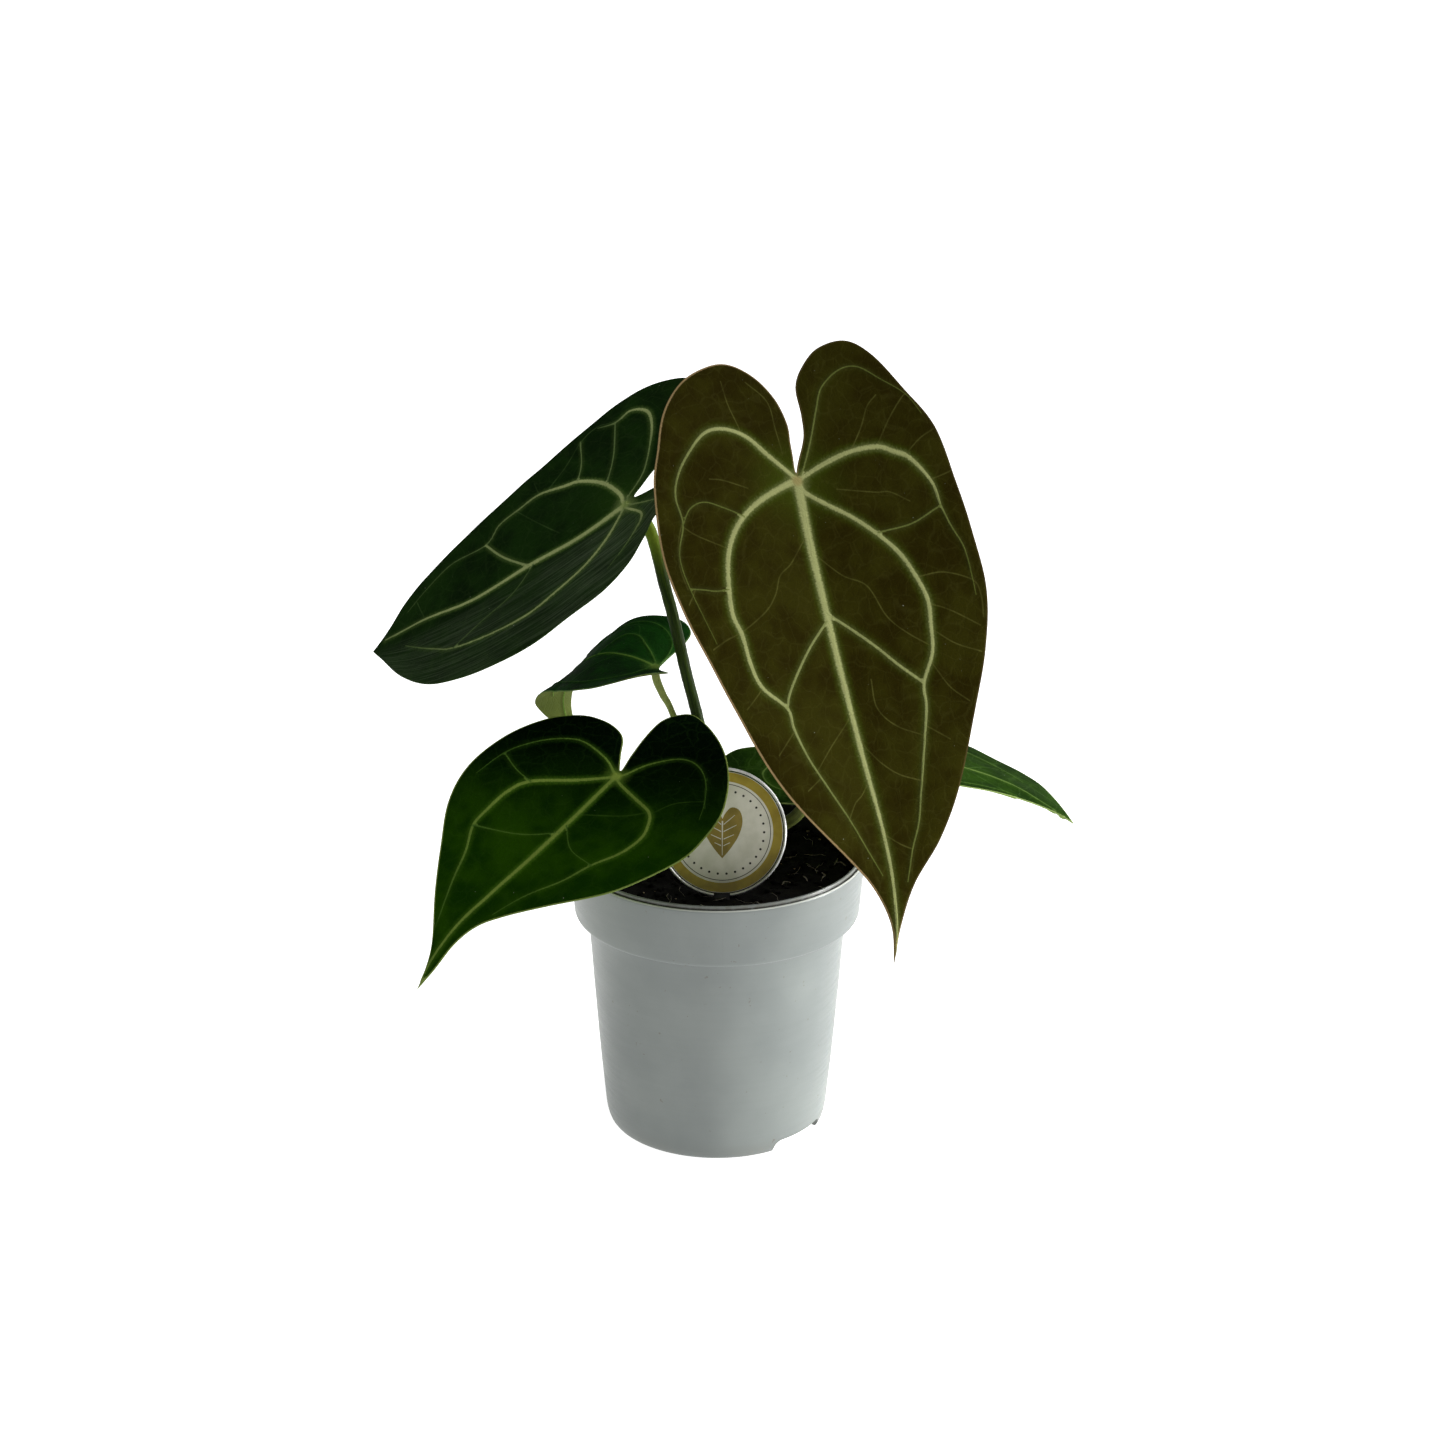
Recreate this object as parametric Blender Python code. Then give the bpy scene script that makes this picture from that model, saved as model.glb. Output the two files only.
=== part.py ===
"""A potted anthurium clarinervium: five heart-shaped leaves with raised veins, on slender
petioles that stand in a short stem, in a nursery pot filled with peat, with a round plant label.

The solids are in metres, +Z up. The origin is on the pot's axis, at the foot of the pot.
The tables that shape the leaves and petioles are in millimetres, and MM turns them into metres.
"""

import math

import bpy
import numpy as np
from mathutils import Matrix, Vector
from mathutils.geometry import delaunay_2d_cdt

MM = 0.001

# Pot: a standard 12 cm nursery pot
POT_HEIGHT = 0.1184
RIM_RADIUS = 0.060
WALL = 0.0014
LIP_WIDTH = 0.0024
LIP_ROUND = 0.0007
# The lip's inner ring, which stands above its outer edge
RING_WIDTH = 0.0011
RING_RISE = 0.0014
BAND_BOTTOM = 0.0924
BAND_BOTTOM_RADIUS = 0.0578
SHOULDER_DROP = 0.0014
BODY_TOP_RADIUS = 0.0528
BODY_HIGH = (0.0512, 0.076)
BODY_MIDDLE = (0.0493, 0.050)
BODY_LOW = (0.0473, 0.025)
FOOT_ROUND_TOP = (0.0455, 0.0065)
FOOT_ROUND_MIDDLE = (0.0447, 0.0024)
FOOT_RADIUS = 0.0434
FOOT_RING_WIDTH = 0.0016
FLOOR_Z = 0.0062
POT_SEGMENTS = 56
NOTCH_ANGLES = (-39, 141)
NOTCH_WIDTH = 0.029
NOTCH_HEIGHT = 0.0050
NOTCH_ROUND = 0.0032
NOTCH_REACH = 0.0064
DRAIN_RADIUS = 0.0045
DRAIN_RING_RADIUS = 0.026
DRAIN_COUNT = 4
DRAIN_SEGMENTS = 16

# Soil, which fills the pot to a few millimetres under the rim
GAP = 0.00035
SOIL_TOP = 0.1080
SOIL_SEGMENTS = 40
SOIL_RINGS = 9
RING_CROWDING = 1.2
# Waves of the soil's top: height, radians for each metre along X and Y, and where each starts
SOIL_WAVES = ((0.0004, 190, 170, 1.3), (0.0003, 410, -370, 2.1), (0.0002, 300, 620, 0.4))

# Stem: a squat dome that the petioles stand in
STEM_CENTRE = (0.0050, 0.0050)
STEM_RADIUS = 0.0105
STEM_BOTTOM = 0.100
STEM_TOP = 0.1190
SOCKET_RING_RADIUS = 0.0060
SOCKET_BOTTOM = 0.1130
SOCKET_LENGTH = 0.014
SOCKET_SEGMENTS = 20
STEM_SEGMENTS = 32
# The dome's side from its foot up, as shares of the stem's radius and height
STEM_SIDE = ((0.85, 0.0), (1.0, 0.15), (1.0, 0.70), (0.95, 0.84), (0.80, 0.93), (0.50, 0.98))

# Label: a round face in a thin ring, on a flat stake, leaning back to face upwards a little
LABEL_CENTRE = (0.0020, -0.0198, 0.1335)
LABEL_LEAN = math.radians(22)
LABEL_RADIUS = 0.0257
BEZEL_WIDTH = 0.0012
BEZEL_DEPTH = 0.0024
BEZEL_OPENING = math.radians(15)
BEZEL_STEPS = 44
DISC_DEPTH = 0.0012
DISC_SEGMENTS = 48
STAKE_WIDTH = 0.0060
STAKE_DEPTH = 0.0015
STAKE_TOP = 0.012
STAKE_LENGTH = 0.056

# Blades, in millimetres and degrees
BLADE_THICKNESS = 0.8
RIDGE_ABOVE = 0.4
RIDGE_BELOW = 0.7
EDGE_SPACING = 5.0
VEIN_SPACING = 6.5
GRID_SPACING = 8.5
FINE_SPACING = 0.6
STRIDE = 2.0
LONGEST_LOBE = 60
SOFT_FOLD = 5.0
NEAREST_POINTS = 1.1
NEAREST_GRID = 3.4
EDGE_CLEARANCE = 1.4
MIDRIB_WIDTH = (2.0, 0.8)
VEIN_WIDTH = (1.3, 0.7)
LINK_WIDTH = (0.8, 0.6)

# Each leaf: where petiole and blade join, the way the blade points from there, how it bends along
# its midrib in degrees for each 100 mm, and its flat outline, from the tip round the left side to
# the sinus and back along the right side. Places on a blade are (along the midrib, to its left).
LEAVES = {
    "leaf_1": {
        "junction": (30, 0, 273), "heading": -64, "dip": 53, "roll": 0, "length": 191,
        "droop": (10,), "sweep": (0,), "twist": (0,), "lobe": 10, "fold": (8,),
        "outline": [
            (191, 0), (177, 5), (162, 13), (147, 26), (129, 37), (104, 48), (78, 59), (55, 65),
            (30, 65), (11, 64), (-12, 62), (-30, 54), (-46, 46), (-54, 37), (-53, 25), (-46, 16),
            (-38, 11), (-27, 10), (-15, 7), (-10, 1), (-24, 3), (-35, 1), (-45, -5), (-51, -14),
            (-51, -24), (-45, -38), (-33, -50), (-17, -58), (-2, -64), (24, -68), (46, -65),
            (68, -58), (88, -51), (112, -41), (130, -29), (148, -14), (162, -4), (177, 1),
        ],
        "midrib": [(0, 0), (30, -2), (71, -2), (108, 0), (138, 3), (158, 4), (177, 3), (188, 1)],
        "veins": [
            [(-3, -2), (-12, -10), (-20, -17), (-24, -26), (-23, -35), (-16, -44), (-7, -52),
             (2, -56), (13, -56), (25, -61), (38, -60), (60, -54)],
            [(1, -5), (6, -18), (12, -28), (19, -35), (28, -40), (40, -43), (50, -44), (58, -42),
             (70, -41), (79, -38), (88, -29), (96, -28), (108, -24), (118, -19), (133, -11),
             (146, -5), (157, 0)],
            [(-3, 3), (-13, 9), (-27, 16), (-36, 21), (-42, 30), (-42, 38), (-35, 46), (-27, 54),
             (-18, 58)],
            [(2, 4), (-5, 13), (-8, 25), (-8, 36), (-5, 42), (-1, 48), (10, 54), (20, 55),
             (29, 57), (39, 60), (57, 60)],
            [(5, 2), (11, 9), (18, 18), (26, 26), (35, 33), (44, 37), (55, 40), (65, 39),
             (76, 37), (87, 31), (96, 30), (107, 27), (118, 24), (129, 21), (140, 18),
             (149, 14), (161, 10)],
        ],
        "links": [
            [(57, -3), (66, -13), (75, -21), (83, -27), (88, -29)],
            [(12, -28), (8, -36), (5, -44), (7, -51), (13, -56)],
            [(40, -43), (40, -49), (39, -54), (38, -60)],
            [(26, 27), (25, 41), (21, 52), (20, 55)],
            [(54, -2), (61, 6), (70, 15), (78, 22), (85, 29), (87, 31)],
        ],
    },
    "leaf_2": {
        "junction": (-37.4, 32, 252.6), "heading": 196, "dip": 32, "roll": -16, "length": 125,
        "droop": (13,), "sweep": (-29,), "twist": (0,), "lobe": 8, "fold": (6,),
        "outline": [
            (127, 1), (119, 9), (106, 24), (93, 36), (81, 42), (66, 46), (51, 47), (37, 44),
            (22, 41), (11, 35), (2, 26), (-8, 17), (-22, 17), (-35, 14), (-40, 9), (-35, 4),
            (-21, 2), (-5, -1), (-11, -5), (-20, -9), (-34, -12), (-46, -18), (-54, -30),
            (-52, -42), (-38, -50), (-22, -52), (-2, -48), (32, -43), (65, -36), (93, -29),
            (110, -18), (121, -5),
        ],
        "midrib": [(0, 0), (22, 1), (46, -1), (73, 0), (97, -3), (120, -2)],
        "veins": [
            [(0, -2), (-1, -7), (1, -16), (5, -22), (11, -27), (17, -29), (30, -33), (42, -32),
             (54, -30), (63, -24), (82, -24), (97, -18), (108, -11)],
            [(-3, -3), (-14, -10), (-24, -23), (-29, -32), (-30, -39), (-25, -44), (-17, -43),
             (-10, -46)],
            [(4, 4), (14, 13), (25, 20), (39, 25), (50, 28), (65, 27), (82, 23), (92, 17),
             (107, 7)],
            [(0, 3), (-3, 12), (4, 20), (10, 25), (18, 31)],
            [(-3, 3), (-12, 9), (-24, 11), (-33, 9)],
        ],
        "links": [
            [(63, -24), (56, -13), (46, -1)],
            [(1, -16), (-8, -27), (-17, -43)],
            [(44, 0), (55, 10), (69, 16), (82, 23)],
        ],
    },
    "leaf_3": {
        "junction": (-25.5, 19.5, 188.5), "heading": 143, "dip": -5, "roll": -1, "length": 78,
        "droop": (-12, 172, 128, 502), "sweep": (0, 43, -94), "twist": (-96, -21, 69, -42),
        "lobe": -140, "fold": (5, 0, 30),
        "outline": [
            (78, 0), (74, 4), (70, 7), (65, 11), (60, 15), (55, 17), (50, 19), (42, 22), (34, 25),
            (26, 28), (16, 30), (6, 31), (-3, 28), (-9, 22), (-12, 14), (-12, 7), (-8, 3),
            (-3, 1), (-1, -2), (0, -6), (1, -11), (2, -18), (3, -24), (5, -30), (9, -33),
            (14, -33), (20, -31), (27, -29), (34, -27), (42, -24), (50, -20), (58, -15),
            (65, -10), (70, -7), (75, -4),
        ],
        "midrib": [(0, 0), (8, -1), (18, -1), (28, -1), (45, 0), (60, 0), (75, 0)],
        "veins": [
            [(1, -2), (7, -7), (13, -11), (19, -15), (25, -15), (28, -11), (31, -1)],
            [(0, -3), (2, -11), (6, -19), (13, -24), (22, -25), (34, -21), (48, -14)],
            [(1, 2), (1, 8), (2, 14), (7, 20), (18, 23), (30, 20), (44, 14), (58, 7)],
        ],
        "links": [],
    },
    "leaf_4": {
        "junction": (-40, -18, 156), "heading": -138, "dip": 19, "roll": -18, "length": 118,
        "droop": (20,), "sweep": (0,), "twist": (0,), "lobe": 10, "fold": (8,),
        "outline": [
            (118, 8), (108, 8), (95, 7), (85, 9), (76, 15), (62, 27), (45, 42), (29, 50),
            (14, 54), (0, 52), (-13, 47), (-26, 37), (-37, 24), (-44, 10), (-46, -2),
            (-41, -7), (-33, -9), (-22, -7), (-12, -4), (-3, -1), (-9, -7), (-15, -12),
            (-17, -17), (-16, -24), (-11, -32), (1, -40), (19, -45), (38, -45), (54, -39),
            (70, -27), (85, -15), (101, -1), (111, 5),
        ],
        "midrib": [(0, 0), (26, 3), (50, 4), (73, 3), (89, 2), (105, 4), (115, 7)],
        "veins": [
            [(-1, -3), (-3, -9), (-3, -18), (-1, -24), (5, -30), (13, -35), (24, -39),
             (38, -40)],
            [(3, -2), (13, -10), (26, -22), (35, -25), (46, -25), (55, -24), (65, -18),
             (77, -13), (92, -6)],
            [(-3, 2), (-13, 5), (-23, 12), (-25, 20), (-21, 29), (-12, 38), (-3, 44)],
            [(2, 4), (4, 15), (6, 25), (11, 30), (18, 33), (28, 32), (39, 27), (51, 23),
             (64, 16), (78, 11)],
        ],
        "links": [
            [(24, -39), (26, -30), (26, -22)],
            [(55, -24), (46, -8), (35, 4)],
            [(30, 3), (38, 14), (39, 27)],
        ],
    },
    "leaf_5": {
        "junction": (52.3, 42, 145.2), "heading": -13, "dip": 5, "roll": 1, "length": 97,
        "droop": (-9, 34, 61), "sweep": (0,), "twist": (-29, 23), "lobe": -5,
        "fold": (-8, 4, 6),
        "outline": [
            (100, 3), (89, 12), (81, 18), (73, 21), (61, 25), (49, 31), (37, 36), (21, 41),
            (2, 44), (-17, 41), (-29, 33), (-34, 22), (-31, 13), (-23, 8), (-13, 4), (-5, 1),
            (-19, -5), (-33, -9), (-44, -15), (-48, -26), (-41, -37), (-26, -44), (-8, -46),
            (12, -43), (32, -37), (51, -26), (66, -16), (75, -9), (83, -3), (91, 1),
        ],
        "midrib": [(0, 0), (25, 2), (50, 4), (70, 4), (84, 2), (96, 2)],
        "veins": [
            [(2, -4), (3, -14), (8, -24), (18, -31), (30, -31), (44, -25), (58, -17), (74, -8)],
            [(-3, -4), (-14, -11), (-25, -19), (-28, -28), (-20, -36), (-6, -39)],
            [(2, 4), (3, 14), (8, 24), (18, 30), (30, 29), (44, 24), (58, 18), (74, 11)],
            [(-3, 4), (-12, 12), (-20, 21), (-20, 30), (-10, 35), (2, 37)],
        ],
        "links": [[(30, 2), (36, -12), (44, -25)], [(30, 2), (37, 11), (44, 24)]],
    },
}

# Each petiole: its place round the stem in degrees, its radius, and points of its path in
# millimetres from above the stem to just below the blade's junction.
PETIOLES = {
    "petiole_1": {
        "place": -30, "radius": 2.5,
        "path": [(16, -1.5, 123), (25, -7, 130.5), (34, -9.5, 140), (40, -6, 160), (39, 2, 195),
                 (33.5, 8, 235), (29, 7, 260)],
    },
    "petiole_2": {
        "place": 125, "radius": 2.4,
        "path": [(-3, 15, 142), (-8.4, 18.5, 168), (-12.6, 18.7, 185), (-15.9, 19.5, 200),
                 (-18.7, 21.5, 211.5), (-22.3, 25, 224), (-25.2, 28, 235.5), (-28, 30, 243.5),
                 (-33.3, 33.5, 248.5)],
    },
    "petiole_3": {
        "place": 185, "radius": 1.35,
        "path": [(-8, 12.5, 138), (-18, 18.5, 168), (-22.3, 19, 177), (-24.8, 19.4, 183)],
    },
    "petiole_4": {
        "place": 250, "radius": 2.2,
        "path": [(-6, -1, 128), (-20, -3.5, 140), (-33, -9, 146), (-38.6, -13.5, 149.5)],
    },
    "petiole_5": {
        "place": 40, "radius": 2.2,
        "path": [(17, 15, 127), (31, 27, 137.5), (43, 37, 140), (50, 41, 140.5)],
    },
}
PETIOLE_SIDES = 10
PETIOLE_SPACING = 7.0
STRAIGHT_FOOT = 9.0
FOOT_LENGTH = 36.0
GENICULUM_LENGTH = 11.0
GENICULUM_SWELL = 0.28
# The share of the geniculum's length, next to the blade, that has its full thickness
GENICULUM_FULL = 0.5
FOOT_SWELL = 0.12


def material(name, colour, roughness, metallic=0.0):
    """A plain finish for one kind of piece."""
    made = bpy.data.materials.new(name)
    made.use_nodes = True
    shader = made.node_tree.nodes["Principled BSDF"]
    shader.inputs["Base Color"].default_value = (*colour, 1.0)
    shader.inputs["Roughness"].default_value = roughness
    shader.inputs["Metallic"].default_value = metallic
    return made


def add_object(name, points, faces, finish, sharp_degrees=35):
    """A smooth-shaded object from points in metres and faces that look outwards."""
    mesh = bpy.data.meshes.new(name)
    mesh.from_pydata([tuple(point) for point in points], [], faces)
    mesh.materials.append(finish)
    mesh.shade_smooth()
    mesh.set_sharp_from_angle(angle=math.radians(sharp_degrees))
    made = bpy.data.objects.new(name, mesh)
    bpy.context.scene.collection.objects.link(made)
    return made


def add_cutter(name, points, faces):
    """A helper that only a Boolean reads."""
    mesh = bpy.data.meshes.new(name)
    mesh.from_pydata([tuple(point) for point in points], [], faces)
    made = bpy.data.objects.new(name, mesh)
    made.hide_render = True
    made.display_type = "WIRE"
    bpy.context.scene.collection.objects.link(made)
    return made


def cut(target, cutter):
    """Takes the cutter's shape out of the target."""
    modifier = target.modifiers.new(cutter.name, "BOOLEAN")
    modifier.operation = "DIFFERENCE"
    modifier.solver = "EXACT"
    modifier.object = cutter


def turned(profile, segments, centre=(0.0, 0.0)):
    """Points and faces of a body turned about +Z. The profile runs from the axis at the bottom,
    out and up the outside, and back to the axis, as (radius, height)."""
    points = [(centre[0], centre[1], profile[0][1])]
    for radius, height in profile[1:-1]:
        for step in range(segments):
            turn = math.tau * step / segments
            points.append((centre[0] + radius * math.cos(turn),
                           centre[1] + radius * math.sin(turn), height))
    points.append((centre[0], centre[1], profile[-1][1]))
    faces = []
    rings = len(profile) - 2
    for step in range(segments):
        after = (step + 1) % segments
        faces.append((0, 1 + after, 1 + step))
        for ring in range(rings - 1):
            low = 1 + ring * segments
            high = low + segments
            faces.append((low + step, low + after, high + after, high + step))
        last = 1 + (rings - 1) * segments
        faces.append((last + step, last + after, len(points) - 1))
    return points, faces


def prism(outline, depth):
    """A flat outline in X and Y, anticlockwise, raised along +Z from 0 to the depth."""
    count = len(outline)
    points = [(x, y, 0.0) for x, y in outline] + [(x, y, depth) for x, y in outline]
    faces = [tuple(range(count - 1, -1, -1)), tuple(range(count, 2 * count))]
    for step in range(count):
        after = (step + 1) % count
        faces.append((step, after, count + after, count + step))
    return points, faces


def circle(radius, segments):
    """Points of a flat circle, anticlockwise."""
    turns = [math.tau * step / segments for step in range(segments)]
    return [(radius * math.cos(turn), radius * math.sin(turn)) for turn in turns]


def rounded_rectangle(width, height, round_radius, corner_steps=4):
    """Points of a rectangle with rounded corners round the origin, anticlockwise."""
    outline = []
    for corner in range(4):
        x = (width / 2 - round_radius) * (1, -1, -1, 1)[corner]
        y = (height / 2 - round_radius) * (1, 1, -1, -1)[corner]
        for step in range(corner_steps + 1):
            turn = math.radians(90 * (corner + step / corner_steps))
            outline.append((x + round_radius * math.cos(turn), y + round_radius * math.sin(turn)))
    return outline


def moved(points, matrix):
    """The points carried by a matrix."""
    return [matrix @ Vector(point) for point in points]


def smooth_curve(points, spacing):
    """Evenly spaced points along a smooth curve through all the given ones, both ends kept."""
    given = np.array(points, float)
    padded = np.vstack([2 * given[0] - given[1], given, 2 * given[-1] - given[-2]])
    share = np.linspace(0, 1, 10, endpoint=False)[:, None]
    pieces = []
    for before, start, end, after in zip(padded, padded[1:], padded[2:], padded[3:]):
        pieces.append(0.5 * (2 * start + (end - before) * share
                             + (2 * before - 5 * start + 4 * end - after) * share**2
                             + (3 * start - before - 3 * end + after) * share**3))
    curve = np.vstack(pieces + [given[-1:]])
    lengths = np.append(0, np.cumsum(np.linalg.norm(np.diff(curve, axis=0), axis=1)))
    count = max(1, round(lengths[-1] / spacing))
    places = np.linspace(0, lengths[-1], count + 1)
    return np.stack([np.interp(places, lengths, column) for column in curve.T], axis=1)


def rate(values, share):
    """A rate that changes evenly through its values from the junction to the tip."""
    return np.interp(share, np.linspace(0, 1, len(values)), values)


def start_frame(leaf):
    """The blade's forward, left and up vectors at its junction."""
    heading, dip, roll = (math.radians(leaf[key]) for key in ("heading", "dip", "roll"))
    level = np.array([-math.sin(heading), math.cos(heading), 0.0])
    forward = np.array([math.cos(heading) * math.cos(dip), math.sin(heading) * math.cos(dip),
                        -math.sin(dip)])
    above = np.cross(forward, level)
    left = level * math.cos(roll) + above * math.sin(roll)
    return forward, left, np.cross(forward, left)


def walk(leaf, stride, reach):
    """Frames along the midrib from the junction: distance, point, forward, left and up."""
    rows = [(0.0, np.array(leaf["junction"], float), *start_frame(leaf))]
    turn = math.radians(stride / 100)
    while abs(rows[-1][0]) < reach:
        distance, point, forward, left, up = rows[-1]
        share = (distance + stride / 2) / leaf["length"]
        droop = turn * (rate(leaf["droop"], share) if stride > 0 else leaf["lobe"])
        sweep = turn * (rate(leaf["sweep"], share) if stride > 0 else 0.0)
        twist = turn * rate(leaf["twist"], share)
        ahead = forward - droop * up + sweep * left
        ahead /= np.linalg.norm(ahead)
        side = left - sweep * forward + twist * (up + droop * forward)
        side -= ahead * (side @ ahead)
        side /= np.linalg.norm(side)
        point = point + stride * (forward + ahead) / 2
        rows.append((distance + stride, point, ahead, side, np.cross(ahead, side)))
    return rows


def midrib_frames(leaf):
    """Distances from the lobes to the tip, with the point, left and up vectors at each."""
    rows = walk(leaf, -STRIDE, LONGEST_LOBE)[:0:-1] + walk(leaf, STRIDE, 1.05 * leaf["length"])
    return [np.array([row[column] for row in rows]) for column in (0, 1, 3, 4)]


def blade_surface(leaf, frames, flat):
    """Points of the bent blade's middle surface at flat places, in millimetres."""
    along, across = flat.T
    distances = frames[0]
    spine, left, up = (
        np.stack([np.interp(along, distances, column) for column in vectors.T], axis=1)
        for vectors in frames[1:]
    )
    fold = np.radians(rate(leaf["fold"], along / leaf["length"]))
    raised = np.sin(fold) * (np.hypot(across, SOFT_FOLD) - SOFT_FOLD)
    return spine + (across * np.cos(fold))[:, None] * left + raised[:, None] * up


def surface_normals(leaf, frames, flat):
    """The blade's upward normals at flat places."""
    small = 0.5
    along = np.array([small, 0.0])
    across = np.array([0.0, small])
    forward = blade_surface(leaf, frames, flat + along) - blade_surface(leaf, frames, flat - along)
    left = blade_surface(leaf, frames, flat + across) - blade_surface(leaf, frames, flat - across)
    normals = np.cross(forward, left)
    return normals / np.linalg.norm(normals, axis=1)[:, None]


def inside(outline, flat):
    """Which flat places lie inside a closed outline."""
    x, y = flat.T[:, :, None]
    x1, y1 = outline.T[:, None]
    x2, y2 = np.roll(outline, -1, axis=0).T[:, None]
    spans = (y1 > y) != (y2 > y)
    rise = np.where(y1 == y2, 1.0, y2 - y1)
    return (spans & (x < x1 + (y - y1) * (x2 - x1) / rise)).sum(axis=1) % 2 == 1


def distance_to(points, flat):
    """How far each flat place is from the nearest of the points."""
    return np.linalg.norm(flat[:, None] - points[None], axis=2).min(axis=1)


def vein_lines(leaf):
    """Every vein of a leaf with its half widths at its start and end."""
    lines = [(leaf["midrib"], MIDRIB_WIDTH)]
    lines += [(vein, VEIN_WIDTH) for vein in leaf["veins"]]
    lines += [(link, LINK_WIDTH) for link in leaf["links"]]
    return lines


def ridge_height(leaf, flat):
    """How far up a vein's ridge each flat place is: 0 beside the veins, 1 on their crests."""
    height = np.zeros(len(flat))
    for points, widths in vein_lines(leaf):
        line = smooth_curve(points, FINE_SPACING)
        width = np.linspace(*widths, len(line))
        away = np.linalg.norm(flat[:, None] - line[None], axis=2) / width
        height = np.maximum(height, (1 - away**2).max(axis=1))
    return height


class FlatMesh:
    """Gathers the points and lines of a blade's flat pattern, keeping the points apart."""

    def __init__(self, outline):
        self.points = [tuple(point) for point in outline]
        self.ring = list(range(len(outline)))
        self.edges = list(zip(self.ring, self.ring[1:] + self.ring[:1]))

    def clear(self, places, distance):
        """The places that lie at least the distance away from every point so far."""
        return places[distance_to(np.array(self.points), places) >= distance]

    def add_line(self, line):
        """A line whose points join those already there where they nearly meet."""
        numbers = []
        for place in line:
            gaps = np.linalg.norm(np.array(self.points) - place, axis=1)
            if gaps.min() < NEAREST_POINTS:
                numbers.append(int(gaps.argmin()))
            else:
                numbers.append(len(self.points))
                self.points.append(tuple(place))
        self.edges += [pair for pair in zip(numbers, numbers[1:]) if pair[0] != pair[1]]

    def add_points(self, places, distance):
        """The places that stay clear of all points, one after another."""
        for place in places:
            if len(self.clear(place[None], distance)):
                self.points.append(tuple(place))

    def triangles(self):
        """The flat points and triangles inside the outline."""
        result = delaunay_2d_cdt([Vector(point) for point in self.points], self.edges,
                                 [self.ring], 1, 1e-5)
        return np.array([tuple(point) for point in result[0]]), result[2]


def blade_pattern(leaf):
    """The blade laid flat: its points and triangles, with lines along every vein."""
    ring = leaf["outline"] + leaf["outline"][:1]
    outline = smooth_curve(ring, EDGE_SPACING)[:-1]
    fine_outline = smooth_curve(ring, FINE_SPACING)
    pattern = FlatMesh(outline)
    rails = []
    for points, widths in vein_lines(leaf):
        line = smooth_curve(points, VEIN_SPACING)
        line = line[distance_to(fine_outline, line) > EDGE_CLEARANCE]
        pattern.add_line(line)
        if widths == LINK_WIDTH:
            continue
        direction = np.gradient(line, axis=0)
        direction /= np.linalg.norm(direction, axis=1)[:, None]
        across = direction[:, ::-1] * (-1, 1) * np.linspace(*widths, len(line))[:, None]
        rails += [line + across, line - across]
    rails = np.vstack(rails)
    rails = rails[inside(fine_outline, rails)]
    rails = rails[distance_to(fine_outline, rails) > EDGE_CLEARANCE]
    pattern.add_points(rails, NEAREST_POINTS)
    low, high = outline.min(axis=0), outline.max(axis=0)
    row_step = GRID_SPACING * math.sqrt(3) / 2
    grid = [(x + GRID_SPACING / 2 * (row % 2), y)
            for row, y in enumerate(np.arange(low[1], high[1], row_step))
            for x in np.arange(low[0], high[0], GRID_SPACING)]
    grid = np.array(grid)
    grid = grid[inside(fine_outline, grid)]
    pattern.add_points(grid, NEAREST_GRID)
    return pattern.triangles()


def add_blade(name, leaf, finish):
    """A bent blade with the same triangles on both faces, and its veins raised from both."""
    flat, triangles = blade_pattern(leaf)
    frames = midrib_frames(leaf)
    middle = blade_surface(leaf, frames, flat)
    normals = surface_normals(leaf, frames, flat)
    ridge = ridge_height(leaf, flat)
    above = middle + normals * (BLADE_THICKNESS / 2 + RIDGE_ABOVE * ridge)[:, None]
    below = middle - normals * (BLADE_THICKNESS / 2 + RIDGE_BELOW * ridge)[:, None]
    count = len(flat)
    faces = [tuple(triangle) for triangle in triangles]
    faces += [tuple(count + corner for corner in triangle[::-1]) for triangle in triangles]
    sides = {(a, b) for triangle in triangles for a, b in zip(triangle, (*triangle[1:], triangle[0]))}
    faces += [(b, a, count + a, count + b) for a, b in sides if (b, a) not in sides]
    return add_object(name, np.vstack([above, below]) * MM, faces, finish, 60)


def socket_place(petiole):
    """The lowest point of a petiole, in its socket, in millimetres."""
    turn = math.radians(petiole["place"])
    return np.array([STEM_CENTRE[0] + SOCKET_RING_RADIUS * math.cos(turn),
                     STEM_CENTRE[1] + SOCKET_RING_RADIUS * math.sin(turn), SOCKET_BOTTOM]) / MM


def petiole_lean(petiole):
    """The direction in which a petiole leaves its socket."""
    lean = np.array(petiole["path"][0], float) - socket_place(petiole)
    return lean / np.linalg.norm(lean)


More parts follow.
